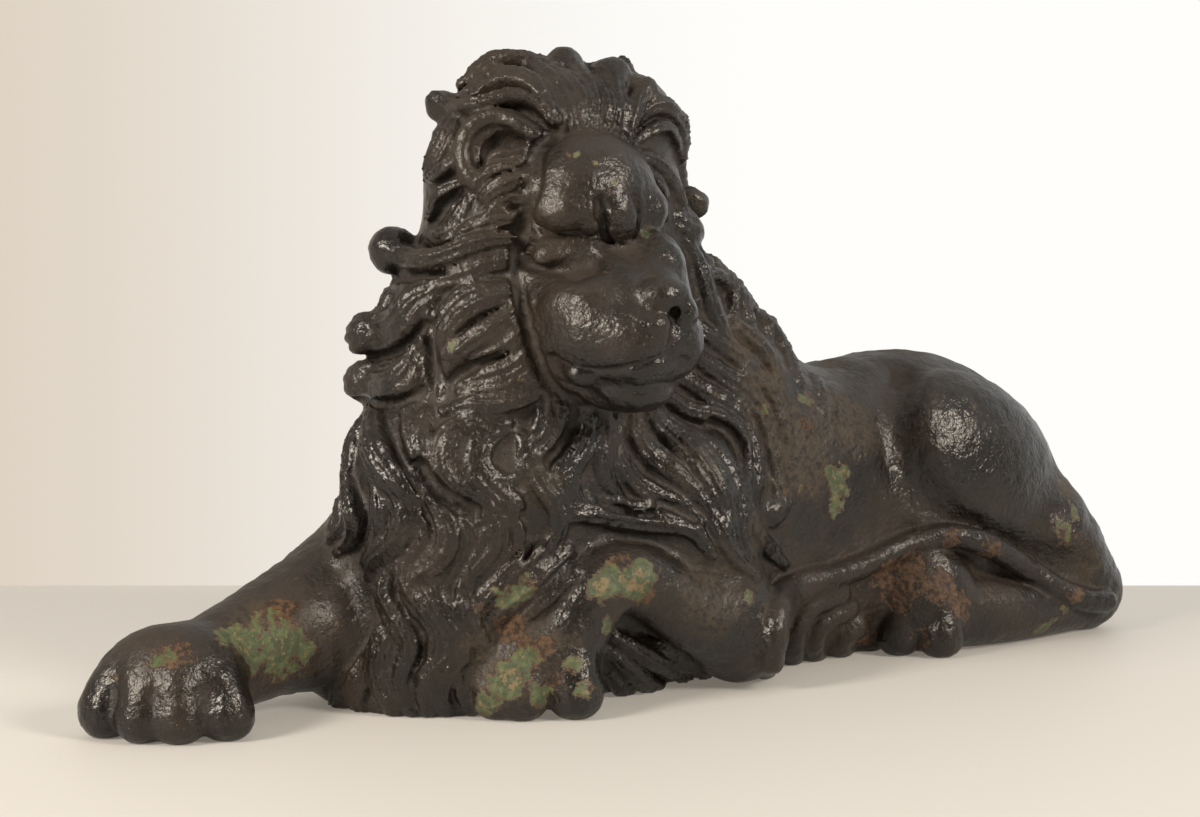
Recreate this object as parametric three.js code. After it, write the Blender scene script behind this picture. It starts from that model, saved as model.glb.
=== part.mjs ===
import * as THREE from "three";

// A reclining lion, cast in one piece. It faces -X, its left flank faces -Y, and it lies on z = 0.
// The shape is drawn as clay: rounded masses that melt into each other, locks laid over them and
// hollows pressed in. The clay's surface is then found on a grid and thinned to fewer triangles.

// Driving dimensions, in millimetres
const LENGTH = 572;
const DRAWN_LENGTH = 572;
const CENTRE_LINE = 8;
const FACE_CENTRE = [-63, -41, 215];
const FACE_TURN = -6;
const FACE_TILT = 5;
const HEAD_CENTRE = [-52, 6, 242];
const EAR_RIM_RADIUS = 4.6;
const EAR_LOBE_RADIUS = 3;
const EAR_HOLLOW_RADIUS = 5;
const TAIL_RADIUS = 6.5;
const TUFT_RADIUS = 6.5;
const CREASE_RADIUS = 11;
const LOCK_BLEND = 3;
const BACK_LOCK_WIDTH = 9;
const BACK_LOCK_HEIGHT = 6;
const BACK_LOCK_SPACING = 19;
const BACK_LOCK_LENGTH = 52;
const BACK_ROW_SPACING = 27;
const BACK_GIRTH = 66;
const BACK_FIRST_RUN = 14;
const BACK_GIRTH_RUN = 20;
const BACK_THROW = 180;

// The drawing board: a plane in front of the eye, on which the locks are drawn in millimetres.
// Each drawn point is thrown along its line of sight onto the clay.
const EYE = [-714, -879, 234];
const EYE_TURN = -38;
const EYE_DROP = 5.155;
const BOARD_DISTANCE = 1150;
const BOARD_MIDDLE_HEIGHT = 155.75;
const THROW_FROM = 860;
const THROW_TO = 1500;
const HIT_GAP = 0.1;
const SMALLEST_STEP = 0.6;
const STEP_SHARE = 0.85;

// How finely the surface is found, and how many triangles are kept
const GRID_STEP = 3.6;
const BLOCK = 8;
const GRID_LOW = [-310, -130, -10];
const GRID_HIGH = [315, 125, 335];
const TRIANGLES_KEPT = 8400;
const FLOOR_BAND = 0.01;
const LOWEST_OFF_FLOOR = 0.4;
const HALF_DIAGONAL = 0.87;
const FORM_MARGIN = 12;
const NEAREST_CROSSING = 0.02;

// Small helpers for vectors and curves
const radians = THREE.MathUtils.degToRad;

function add(a, b, scale = 1) {
  return [a[0] + b[0] * scale, a[1] + b[1] * scale, a[2] + b[2] * scale];
}

function dot(a, b) {
  return a[0] * b[0] + a[1] * b[1] + a[2] * b[2];
}

function cross(a, b) {
  return [a[1] * b[2] - a[2] * b[1], a[2] * b[0] - a[0] * b[2], a[0] * b[1] - a[1] * b[0]];
}

function length(a) {
  return Math.sqrt(dot(a, a));
}

function unit(a) {
  const size = Math.max(length(a), 1e-9);
  return [a[0] / size, a[1] / size, a[2] / size];
}

function clamp(value, low, high) {
  return Math.min(Math.max(value, low), high);
}

// A smooth curve through rows of any number of values
function curve(rows, steps) {
  const first = rows[0].map((value, i) => 2 * value - rows[1][i]);
  const last = rows.at(-1).map((value, i) => 2 * value - rows.at(-2)[i]);
  const all = [first, ...rows, last];
  const points = [];
  for (let i = 1; i < all.length - 2; i += 1) {
    const [a, b, c, d] = all.slice(i - 1, i + 3);
    for (let step = 0; step < steps; step += 1) {
      const t = step / steps;
      points.push(
        b.map((value, k) => {
          const straight = (c[k] - a[k]) * t;
          const bend = (2 * a[k] - 5 * value + 4 * c[k] - d[k]) * t * t;
          const twist = (3 * value - a[k] - 3 * c[k] + d[k]) * t * t * t;
          return 0.5 * (2 * value + straight + bend + twist);
        }),
      );
    }
  }
  points.push(rows.at(-1));
  return points;
}

// A value read off a broken line through [place, value] pairs
function along(pairs, place) {
  let i = 1;
  while (i < pairs.length - 1 && place > pairs[i][0]) {
    i += 1;
  }
  const [from, low] = pairs[i - 1];
  const [to, high] = pairs[i];
  return low + (high - low) * clamp((place - from) / (to - from), 0, 1);
}

// Two distances joined with a soft seam
function melt(a, b, seam) {
  const overlap = Math.max(seam - Math.abs(a - b), 0) / seam;
  return Math.min(a, b) - (overlap * overlap * seam) / 4;
}

// The box around a chain of points, each with its own reach
function boxAround(points, reach) {
  const low = [Infinity, Infinity, Infinity];
  const high = [-Infinity, -Infinity, -Infinity];
  points.forEach((point, i) => {
    for (let k = 0; k < 3; k += 1) {
      low[k] = Math.min(low[k], point[k] - reach[i]);
      high[k] = Math.max(high[k], point[k] + reach[i]);
    }
  });
  return { low, high };
}

// An ellipsoid; axes are its own three directions
const UPRIGHT = [
  [1, 0, 0],
  [0, 1, 0],
  [0, 0, 1],
];

function ball(centre, radii, { axes = UPRIGHT, blend = 8, carve = false } = {}) {
  const [u, v, w] = axes;
  function distance(x, y, z) {
    const dx = x - centre[0];
    const dy = y - centre[1];
    const dz = z - centre[2];
    const a = (dx * u[0] + dy * u[1] + dz * u[2]) / radii[0];
    const b = (dx * v[0] + dy * v[1] + dz * v[2]) / radii[1];
    const c = (dx * w[0] + dy * w[1] + dz * w[2]) / radii[2];
    const near = Math.sqrt(a * a + b * b + c * c);
    const slope = Math.sqrt((a / radii[0]) ** 2 + (b / radii[1]) ** 2 + (c / radii[2]) ** 2) + 1e-9;
    return (near * (near - 1)) / slope;
  }
  return { distance, blend, carve, ...boxAround([centre], [Math.max(...radii)]) };
}

// A round limb through rows of x, y, z and radius
function limb(rows, { blend = 8, carve = false, steps = 5 } = {}) {
  const chain = curve(rows, steps);
  function distance(x, y, z) {
    let best = Infinity;
    for (let i = 1; i < chain.length; i += 1) {
      const a = chain[i - 1];
      const b = chain[i];
      const bx = b[0] - a[0];
      const by = b[1] - a[1];
      const bz = b[2] - a[2];
      const px = x - a[0];
      const py = y - a[1];
      const pz = z - a[2];
      const t = clamp((px * bx + py * by + pz * bz) / (bx * bx + by * by + bz * bz + 1e-9), 0, 1);
      const dx = px - t * bx;
      const dy = py - t * by;
      const dz = pz - t * bz;
      const gap = Math.sqrt(dx * dx + dy * dy + dz * dz) - (a[3] + t * (b[3] - a[3]));
      best = Math.min(best, gap);
    }
    return best;
  }
  return { distance, blend, carve, ...boxAround(chain, chain.map((row) => row[3])) };
}

// A flattened lock that hugs a surface: points, half widths, heights and the surface's directions
function lock(points, widths, heights, outward, blend) {
  const links = points.slice(1).map((b, i) => {
    const a = points[i];
    const run = add(b, a, -1);
    const size = Math.max(length(run), 1e-6);
    const out = unit(add(outward[i], run, -dot(outward[i], run) / (size * size)));
    return { a, run, size, out, side: cross(unit(run), out) };
  });
  function distance(x, y, z) {
    let best = Infinity;
    for (let i = 0; i < links.length; i += 1) {
      const { a, run, size, out, side } = links[i];
      const px = x - a[0];
      const py = y - a[1];
      const pz = z - a[2];
      const t = clamp((px * run[0] + py * run[1] + pz * run[2]) / (size * size), 0, 1);
      const dx = px - t * run[0];
      const dy = py - t * run[1];
      const dz = pz - t * run[2];
      const width = widths[i] + t * (widths[i + 1] - widths[i]);
      const height = heights[i] + t * (heights[i + 1] - heights[i]);
      const rise = dx * out[0] + dy * out[1] + dz * out[2];
      const lean = dx * side[0] + dy * side[1] + dz * side[2];
      const rest = Math.max(dx * dx + dy * dy + dz * dz - rise * rise - lean * lean, 0);
      const near = Math.sqrt((rise / height) ** 2 + (lean / width) ** 2 + rest / (width * width));
      best = Math.min(best, (near - 1) * Math.min(width, height));
    }
    return best;
  }
  const reach = widths.map((width, i) => Math.max(width, heights[i]));
  return { distance, blend, carve: false, ...boxAround(points, reach) };
}

// The distance to a whole list of forms, and the direction straight out of them
function clayDistance(forms, x, y, z) {
  let distance = 1000;
  for (const form of forms) {
    const own = form.distance(x, y, z);
    distance = form.carve ? -melt(-distance, own, form.blend) : melt(distance, own, form.blend);
  }
  return distance;
}

function clayOutward(forms, [x, y, z]) {
  const e = 0.5;
  return unit([
    clayDistance(forms, x + e, y, z) - clayDistance(forms, x - e, y, z),
    clayDistance(forms, x, y + e, z) - clayDistance(forms, x, y - e, z),
    clayDistance(forms, x, y, z + e) - clayDistance(forms, x, y, z - e),
  ]);
}

// Where a ray first meets the clay, or where it passes nearest
function throwOnto(forms, start, direction, from, to) {
  let reach = from;
  let nearest = Infinity;
  let best = from;
  while (reach < to && nearest > HIT_GAP) {
    const distance = clayDistance(forms, ...add(start, direction, reach));
    if (distance < nearest) {
      nearest = distance;
      best = reach;
    }
    reach += Math.max(distance * STEP_SHARE, SMALLEST_STEP);
  }
  return add(start, direction, best);
}

// A line of sight through a point of the drawing board
const eyeTurn = radians(EYE_TURN);
const eyeDrop = radians(EYE_DROP);
const eyeAcross = [Math.cos(eyeTurn), Math.sin(eyeTurn), 0];
const eyeForward = [
  -Math.sin(eyeTurn) * Math.cos(eyeDrop),
  Math.cos(eyeTurn) * Math.cos(eyeDrop),
  -Math.sin(eyeDrop),
];
const eyeUp = cross(eyeAcross, eyeForward);

function sight([across, up]) {
  let direction = eyeForward;
  direction = add(direction, eyeAcross, across / BOARD_DISTANCE);
  direction = add(direction, eyeUp, (up - BOARD_MIDDLE_HEIGHT) / BOARD_DISTANCE);
  return unit(direction);
}

function soften(points, times) {
  let smooth = points;
  for (let i = 0; i < times; i += 1) {
    smooth = smooth.map((point, k) => {
      if (k === 0 || k === smooth.length - 1) {
        return point;
      }
      const middle = add(smooth[k - 1], smooth[k + 1]).map((value) => value / 4);
      return add(middle, point, 0.5);
    });
  }
  return smooth;
}

function drawnPath(forms, path, times) {
  const points = curve(path, 3).map((place) => {
    return throwOnto(forms, EYE, sight(place), THROW_FROM, THROW_TO);
  });
  return soften(points, times);
}

// Points of the face: across it to the lion's left, up it, and out of it
const faceTurn = radians(FACE_TURN);
const faceTilt = radians(FACE_TILT);
const faceAcross = [Math.cos(faceTurn), Math.sin(faceTurn), 0];
const faceOut = [
  Math.sin(faceTurn) * Math.cos(faceTilt),
  -Math.cos(faceTurn) * Math.cos(faceTilt),
  -Math.sin(faceTilt),
];
const faceUp = cross(faceOut, faceAcross);
const FACE_AXES = [faceAcross, faceUp, faceOut];

function onFace(across, up, out, ...more) {
  let point = add(FACE_CENTRE, faceAcross, across);
  point = add(point, faceUp, up);
  point = add(point, faceOut, out);
  return [...point, ...more];
}

// The trunk: a barrel from the chest to the rump, with a belly that reaches the floor
function trunk() {
  const y = CENTRE_LINE;
  const barrel = [
    [-60, y, 84, 60],
    [20, y, 88, 59],
    [100, y, 88, 56],
    [182, y, 92, 61.5],
    [224, y, 82, 56],
  ];
  const belly = [
    [-60, y, 42, 56],
    [60, y, 42, 56],
    [170, y, 42, 56],
    [238, y, 40, 46],
  ];
  return [limb(barrel, { blend: 20 }), limb(belly, { blend: 20 })];
}

// One haunch with its folded leg; side is -1 for the left and 1 for the right
function haunch(side) {
  const y = CENTRE_LINE;
  const lean = radians(33);
  const thighAxes = [
    [Math.cos(lean), 0, -Math.sin(lean)],
    [0, 1, 0],
    [Math.sin(lean), 0, Math.cos(lean)],
  ];
  const hock = [
    [240, y + side * 52, 50, 34],
    [268, y + side * 62, 22, 22],
  ];
  const shank = [
    [264, y + side * 64, 17, 17],
    [200, y + side * 66, 18, 18],
    [150, y + side * 58, 22, 21],
  ];
  return [
    ball([189, y + side * 44, 85], [72, 37, 55], { axes: thighAxes, blend: 6 }),
    limb(hock, { blend: 14 }),
    limb(shank, { blend: 6 }),
  ];
}

function shoulders() {
  return [
    ball([-8, -34, 82], [44, 34, 44], { blend: 12 }),
    ball([-30, 58, 72], [52, 30, 52], { blend: 14 }),
  ];
}

// The left foreleg is folded, the right one reaches forward
function forelegs() {
  const leftUpper = [
    [-6, -40, 68, 30],
    [16, -50, 28, 25],
  ];
  const leftLower = [
    [18, -52, 26, 24],
    [-20, -57, 42, 18],
    [-50, -57, 59, 16],
    [-72, -54, 56, 17],
    [-88, -46, 30, 20],
  ];
  const right = [
    [-90, 52, 76, 38],
    [-140, 47, 45, 36],
    [-195, 38, 32, 26],
    [-238, 30, 22, 22],
  ];
  return [limb(leftUpper, { blend: 8 }), limb(leftLower, { blend: 5 }), limb(right, { blend: 10 })];
}

// A paw whose toes fan out ahead of its centre; heading 0 points along -Y and turns towards +X
function paw({ centre, heading, across, reach, radius, rise, size, back, blend = 2.2 }) {
  const turn = radians(heading);
  const ahead = [Math.sin(turn), -Math.cos(turn), 0];
  const sideways = [Math.cos(turn), Math.sin(turn), 0];
  const middle = [centre[0], centre[1], 0];
  const pad = add(add(middle, ahead, -back), [0, 0, size[2] - 2]);
  const padSize = [size[0], size[1], size[2] - 2];
  const forms = [ball(pad, padSize, { axes: [sideways, ahead, [0, 0, 1]], blend: 6 })];
  across.forEach((offset, i) => {
    const root = add(add(middle, sideways, offset * 0.6), ahead, reach[i] - 22);
    const knuckle = add(add(middle, sideways, offset * 0.8), ahead, reach[i] - 4);
    const tip = add(add(middle, sideways, offset), ahead, reach[i] + 2);
    const toe = [
      [root[0], root[1], rise - radius + 3, radius * 0.85],
      [knuckle[0], knuckle[1], rise - radius, radius * 0.98],
      [tip[0], tip[1], radius * 1.1, radius * 1.04],
    ];
    forms.push(limb(toe, { blend, steps: 3 }));
    forms.push(ball([tip[0], tip[1], radius * 0.7], [radius, radius, radius * 0.8], { blend }));
  });
  return forms;
}

const LEFT_PAW = {
  centre: [-99, -41],
  heading: -38,
  across: [-15, -4, 20],
  reach: [7, 10, 7],
  radius: 12.5,
  rise: 41,
  size: [30, 27, 27],
  back: 8,
  blend: 2.6,
};
const RIGHT_PAW = {
  centre: [-250, 22],
  heading: -46,
  across: [-27, -8, 8.5, 27],
  reach: [4, 11, 11, 2],
  radius: 11.5,
  rise: 37,
  size: [33, 27, 26],
  back: 8,
  blend: 3.5,
};

function hindPaw(side, heading) {
  return paw({
    centre: [143, CENTRE_LINE + side * 54],
    heading,
    across: [-22, -4, 17],
    reach: [4, 8, 4],
    radius: 11.5,
    rise: 39,
    size: [30, 27, 34],
    back: 8,
  });
}

// The mane's masses: the crest, the head of hair, the beard and the fringe down to the floor
function maneMasses() {
  const crest = [
    [-36, 6, 212, 50],
    [12, 8, 156, 50],
    [76, 8, 109, 48],
  ];
  const fringe = [
    [-100, 14, 50, 57],
    [-108, 20, 5, 53],
  ];
  return [
    limb(crest, { blend: 20 }),
    ball([-52, 4, 226], [64, 46, 60], { blend: 18 }),
    ball([-53, 5, 249], [64, 46, 46], { blend: 14 }),
    ball([-24, -12, 272], [26, 24, 24], { blend: 12 }),
    ball([-66, 4, 165], [70, 58, 78], { blend: 18 }),
    ball([-88, 10, 100], [72, 62, 66], { blend: 18 }),
    limb(fringe, { blend: 18 }),
  ];
}

// The face's masses: the head under the face, the brow dome, the muzzle with its cheeks and pads,
// the chin and the two edges of the nose
function faceBall(centre, radii, options) {
  return ball(onFace(...centre), radii, { axes: FACE_AXES, ...options });
}

function faceMasses() {
  const muzzle = [onFace(0, -32, 0, 36), onFace(0, -35, 22, 32), onFace(0, -37, 42, 25)];
  const masses = [
    faceBall([2, -12, -10], [32, 52, 28], { blend: 5 }),
    faceBall([-2, 20, -3], [33, 30, 28], { blend: 4 }),
    limb(muzzle, { blend: 8 }),
    faceBall([-22, -39, 19], [17, 27, 26], { blend: 12 }),
    faceBall([23, -40, 17], [17, 25, 25], { blend: 12 }),
    faceBall([18, -13, 26], [13, 20, 16], { blend: 10 }),
    faceBall([-18, -36, 34], [16, 17, 18], { blend: 14 }),
    faceBall([-8, -40, 48], [15, 17, 18], { blend: 10 }),
    faceBall([13, -40, 50], [13, 16, 16], { blend: 5 }),
    faceBall([-1, -61.5, 33], [21, 12, 26], { blend: 3 }),
  ];
  for (const side of [-1, 1]) {
    const edge = [
      onFace(side * 11, 0, 11, 7),
      onFace(side * 11, -12, 28, 8),
      onFace(side * 9, -18, 46, 8),
    ];
    masses.push(limb(edge, { blend: 6 }));
  }
  return masses;
}

// Lines of the face, as drawn: radius, blend, lift off the face, and the path. They are the notch
// in the brow, the creases under its lobes, the nostril, the philtrum, the mouth with the fold at
// its corner, and the parting between face and hair.
const FACE_LINES = [
  [2.8, 2.5, 0, [[0, 259], [0.5, 253], [2, 248]]],
  [2.4, 2, 0, [[-34, 250], [-27.5, 245.5], [-20, 243.5], [-12.5, 243], [-4, 243], [2, 242]]],
  [2.4, 2, 0, [[2, 243], [5, 239.5], [9, 238.5], [13.5, 240.5], [17, 246.5], [19, 254], [17, 262]]],
  [2.6, 2, 0, [[33, 209.5], [35.5, 207], [36.5, 203]]],
  [2.4, 3, 0, [[36.5, 203], [37, 195], [36, 187.5], [35, 182]]],
  [2.4, 1.5, 0, [[-23.5, 180], [-13.5, 176], [0.5, 174.5], [13.5, 176], [27.5, 180], [34.5, 182]]],
  [2.4, 1.5, 0, [[34.5, 182], [39, 180], [43.5, 179.5]]],
  [3, 4, 0, [[-23.5, 179], [-21, 172.5], [-17.5, 167], [-7.5, 163.5], [0.5, 158]]],
  [4, 2, 2.4, [[-22, 291], [-29.5, 284], [-31, 270], [-35, 253], [-40.5, 240]]],
  [3.2, 2, 1.6, [[-40.5, 240], [-42.5, 229], [-41, 216.5], [-37, 204], [-33, 190]]],
  [3.2, 2, 1.4, [[-33, 190], [-28.5, 176], [-21, 165], [-12.5, 161]]],
];
const CHEEK_RIDGE = [[-24, 209.5], [-17, 211.5], [-10, 213.5], [-3, 216.5]];

function face(base) {
  const masses = faceMasses();
  const under = [...base, ...masses];
  return [
    ...masses,
    // the near eye's socket, under the brow
    faceBall([-25, -6, 25.5], [11.5, 8, 10], { blend: 6, carve: true }),
    // the lobes of the brow
    faceBall([-18, 15, 6], [17, 10, 16], { blend: 8 }),
    faceBall([-0.5, 12, 14.5], [9.5, 12, 12], { blend: 8 }),
    faceBall([21, 16, 12], [9, 10, 10], { blend: 6 }),
    // the eyes under their lids
    faceBall([-24, -5, 7.5], [12, 7, 8], { blend: 7 }),
    faceBall([22, -5, 7], [11, 7, 8], { blend: 7 }),
    // the nose and its wings
    faceBall([2, -17, 58], [12, 8, 10], { blend: 5 }),
    faceBall([-6, -29, 63], [7, 4, 6], { blend: 3 }),
    faceBall([10, -25, 60], [7, 8, 8], { blend: 3 }),
    ...FACE_LINES.map(([radius, blend, lift, path]) => {
      return drawnCord(under, path, radius, lift, { blend, carve: true });
    }),
    drawnCord(under, CHEEK_RIDGE, 4.5, -2.6, { blend: 8 }),
  ];
}

// Drawn locks: half width, height, lift off the clay, radius of the curled tip, and the path drawn
// on the board as [across, up]
const CROWN_LOCKS = [
  [8, 6, 2, 0, [[-12, 296], [-16, 308], [-24, 319], [-36, 327], [-50, 329], [-60, 325], [-69, 317]]],
  [6, 6, 2.5, 0, [[-21, 300], [-27, 311], [-37, 318], [-49, 320], [-58, 317], [-64, 312], [-71, 309]]],
  [4.5, 7, 4, 0, [[-23, 293], [-26, 303], [-33, 311], [-43, 315], [-53, 314], [-61, 309], [-70, 309]]],
  [4, 8, 5, 7, [[-25, 290], [-28, 299], [-35, 305], [-46, 306], [-58, 303], [-68, 303], [-80, 307]]],
  [5, 6, 2, 0, [[-8, 294], [-9, 305], [-14, 315], [-22, 322], [-31, 328]]],
  [6, 6, 2, 9, [[-4, 293], [-3, 305], [-8, 316], [-14, 324], [-18, 327]]],
  [3.5, 7, 3, 0, [[1, 293], [2, 304], [0, 315], [-4, 325]]],
  [6, 6, 2, 9, [[6, 292], [7, 304], [7, 314], [6, 322]]],
  [5, 6, 2, 7, [[12, 290], [14, 300], [17, 309], [22, 314]]],
  [6, 6, 2, 0, [[18, 300], [25, 307], [33, 304], [39, 294], [41, 281]]],
  [4, 5, 2, 0, [[17, 289], [24, 295], [31, 297], [36, 290], [39, 279]]],
  [5, 5, 1, 0, [[15, 283], [24, 281], [32, 273], [38, 262], [44, 246], [51, 230]]],
  [4, 5, 1, 0, [[20, 277], [27, 269], [31, 259], [32, 250]]],
  [7, 6, 0, 6, [[43, 262], [47, 258]]],
  [8, 6, 0, 7, [[39, 251], [44, 245]]],
];
const TEMPLE_LOCKS = [
  [9, 5, 0, 0, [[-72, 302], [-76, 294], [-80, 285], [-84, 277], [-86, 272]]],
  [4.5, 6, 2, 0, [[-70, 284], [-73, 277], [-79, 272], [-84, 270]]],
  [4, 6, 3, 0, [[-66, 269], [-72, 267], [-78, 261], [-81, 253], [-85, 250]]],
  [3.5, 6, 2, 0, [[-35, 281], [-44, 277], [-53, 275], [-57, 270], [-58, 264]]],
  [5, 7, 4, 0, [[-34, 273], [-43, 270], [-51, 266], [-56, 261], [-59, 255]]],
  [8, 6, 1, 0, [[-63, 262], [-67, 253], [-73, 245], [-84, 240]]],
  [5, 6, 2, 0, [[-36, 262], [-46, 261], [-54, 254], [-60, 247], [-69, 240]]],
  [5, 6, 2, 0, [[-38, 252], [-48, 250], [-56, 247], [-66, 243], [-75, 238]]],
  [6, 9, 4, 11, [[-38, 240], [-52, 239], [-63, 235], [-74, 229], [-87, 227], [-97, 232], [-104, 235]]],
  [8, 6, 1, 0, [[-42, 231], [-56, 229], [-68, 223], [-84, 219], [-100, 221]]],
];
const CHEEK_LOCKS = [
  [5, 5, 1.5, 0, [[-44, 217], [-55, 217], [-66, 213], [-75, 206], [-80, 196], [-81, 186]]],
  [7, 6.5, 3, 0, [[-42, 212], [-52, 211], [-63, 206], [-72, 198], [-77, 187], [-75, 174]]],
  [6.5, 6.5, 3, 0, [[-40, 207], [-48, 200], [-58, 193], [-67, 187], [-73, 180], [-74, 172]]],
  [5.5, 5.5, 2.5, 0, [[-37, 204], [-41, 194], [-49, 187], [-59, 183], [-69, 178]]],
  [6, 5.5, 2.5, 0, [[-34, 198], [-37, 186], [-45, 178], [-57, 173], [-69, 169]]],
  [6, 5.5, 3, 0, [[-32, 186], [-35, 176], [-45, 168], [-57, 165], [-70, 163]]],
  [6, 5.5, 3, 0, [[-29, 175], [-33, 166], [-43, 160], [-54, 157], [-66, 157], [-78, 154]]],
  [11, 7.5, 2.5, 9, [[-84, 214], [-91, 208], [-95, 200], [-103, 194], [-116, 193]]],
  [9.5, 5, 0, 0, [[-95, 218], [-103, 213], [-107, 206], [-111, 200]]],
  [6, 5, 1, 0, [[-84, 204], [-86, 194], [-92, 187], [-104, 184], [-114, 184]]],
  [9.5, 7.5, 2.5, 10, [[-92, 182], [-94, 174], [-100, 168], [-109, 167], [-117, 169]]],
  [8.5, 5.5, 1.5, 0, [[-100, 181], [-108, 178], [-115, 175], [-121, 171]]],
  [6, 5, 1, 0, [[-88, 174], [-92, 165], [-101, 160], [-113, 160]]],
  [5, 4, 0, 0, [[-86, 193], [-84, 179], [-82, 168], [-85, 160]]],
];
const LEFT_CHEST_LOCKS = [
  [9, 7, 2.5, 0, [[-112, 156], [-112, 143], [-109, 131], [-102, 121], [-96, 113], [-91, 101]]],
  [7, 5, 1, 0, [[-96, 156], [-96, 143], [-92, 131], [-86, 121], [-82, 111]]],
  [6, 5, 1, 0, [[-87, 152], [-89, 143], [-87, 132], [-82, 122]]],
  [7, 5, 0, 0, [[-118, 149], [-123, 139], [-125, 127], [-125, 116]]],
  [6.5, 7, 2.5, 0, [[-125, 122], [-122, 111], [-119, 101], [-121, 91], [-130, 84]]],
  [7, 5, 0, 6, [[-129, 108], [-129, 98], [-131, 95]]],
  [6.5, 6, 1.5, 0, [[-112, 120], [-108, 109], [-108, 98], [-111, 88], [-117, 79]]],
  [7, 6, 2.5, 0, [[-103, 115], [-98, 105], [-97, 95], [-104, 86], [-112, 80], [-115, 73]]],
  [7, 6, 2.5, 0, [[-84, 111], [-77, 101], [-75, 90], [-81, 80], [-91, 73], [-95, 66]]],
  [6, 5, 1, 0, [[-91, 101], [-87, 93], [-89, 86], [-97, 80]]],
];
const CHEST_LOCKS = [
  [8, 5.5, 1.5, 0, [
    [-50, 152], [-64, 148], [-75, 141], [-79, 131], [-76, 121], [-68, 113], [-59, 106],
  ]],
  [8, 5.5, 1, 0, [[-64, 110], [-56, 103], [-53, 94], [-54, 85], [-60, 78], [-66, 70], [-63, 60]]],
  [7, 4.5, 1, 0, [[-56, 148], [-64, 140], [-66, 129], [-60, 118], [-50, 109], [-41, 99], [-38, 89]]],
  [7, 4.5, 1, 0, [[-41, 98], [-39, 88], [-44, 80], [-54, 72], [-59, 64]]],
  [6, 4.5, 1, 0, [[-47, 146], [-57, 139], [-60, 129], [-54, 121], [-44, 120]]],
  [7, 4.5, 1, 0, [
    [-38, 140], [-36, 130], [-30, 119], [-23, 109], [-21, 99], [-24, 88], [-31, 80], [-39, 74],
  ]],
  [6, 4, 0.5, 0, [[-50, 116], [-44, 108], [-40, 99], [-41, 90]]],
  [7, 4, 0.5, 0, [[-72, 102], [-67, 94], [-67, 85], [-72, 76], [-76, 67], [-75, 57]]],
  [11, 5.5, 1, 0, [[-27, 165], [-24, 153], [-26, 143], [-33, 134], [-37, 126]]],
  [7, 4.5, 1, 0, [[-8, 158], [-6, 146], [-10, 134], [-16, 125], [-15, 114], [-8, 106]]],
  [6, 4.5, 1, 0, [[-15, 140], [-20, 130], [-21, 121], [-15, 110]]],
  [7, 4.5, 1, 0, [[1, 158], [2, 144], [0, 132], [2, 121], [10, 112]]],
  [7, 4.5, 1, 0, [[9, 153], [7, 140], [9, 129], [16, 119], [27, 113], [39, 109]]],
  [8, 5.5, 1.5, 0, [[17, 159], [16, 147], [21, 136], [31, 128], [42, 121], [51, 110]]],
  [9.5, 5.5, 1.5, 0, [[25, 159], [30, 147], [41, 138], [51, 127], [58, 116], [63, 104], [65, 93]]],
  [7, 4.5, 1, 0, [[34, 148], [48, 141], [59, 131], [66, 119], [70, 106], [71, 94], [75, 83]]],
  [6, 6, 2, 0, [[33, 162], [43, 154], [55, 151], [66, 145], [71, 134], [73, 121]]],
  [7, 4.5, 0.5, 0, [[42, 171], [56, 162], [68, 154], [75, 142], [78, 129], [80, 118]]],
  [7, 4.5, 0.5, 0, [[48, 182], [62, 172], [75, 162], [83, 148], [87, 133], [89, 119]]],
  [7, 4, 0.5, 0, [[52, 194], [66, 184], [79, 173], [89, 158], [94, 141]]],
  [7, 4, 0.5, 6, [[88, 119], [91, 109], [86, 104]]],
  [7, 4, 0.5, 0, [[72, 118], [74, 106], [77, 95], [84, 86], [92, 78]]],
  [6, 4, 0.5, 0, [[54, 107], [59, 98], [63, 88], [70, 79], [78, 72]]],
  [7, 6, 1, 0, [
    [-18, 103], [-6, 103.5], [7, 101.5], [20, 100], [32, 98.5], [43, 97], [50, 91], [56, 82],
  ]],
  [5.5, 4, 0.5, 0, [[-4, 108], [7, 106], [18, 105], [30, 104], [42, 103], [50, 99]]],
];
const NECK_LOCKS = [
  [7, 5, 1, 0, [[43, 239], [48, 228], [52, 215], [58, 200], [66, 187]]],
  [5, 6, 3, 0, [[50, 224], [59, 219], [64, 210], [64, 201]]],
  [8.5, 5, 0, 0, [[56, 229], [66, 218], [75, 206], [84, 192]]],
  [7, 5, 1, 0, [[68, 197], [78, 188], [86, 176], [90, 163]]],
  [8.5, 4, 0, 0, [[82, 201], [92, 187], [99, 170]]],
];
const FLOOR_LOCKS = [
  [8, 6, 3, 0, [[-95, 49], [-103, 45], [-108, 37], [-109, 24], [-106, 12], [-103, 3]]],
  [7, 5, 2, 0, [[-92, 42], [-95, 34], [-100, 26], [-99, 14], [-94, 4]]],
  [9, 6, 3, 0, [[-80, 61], [-76, 50], [-72, 39], [-75, 31], [-83, 24], [-88, 17], [-86, 8]]],
  [6, 5, 2, 0, [[-70, 33], [-77, 24], [-80, 14], [-77, 4]]],
  [6, 5, 1, 0, [[-61, 37], [-65, 26], [-68, 15], [-64, 3]]],
  [7, 4, 0, 0, [[-96, 61], [-90, 50], [-82, 39]]],
  [7, 5, 2, 0, [[-113, 34], [-119, 22], [-121, 11], [-119, 4]]],
  [7, 5, 1, 0, [[-125, 22], [-129, 12], [-132, 4]]],
];
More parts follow.
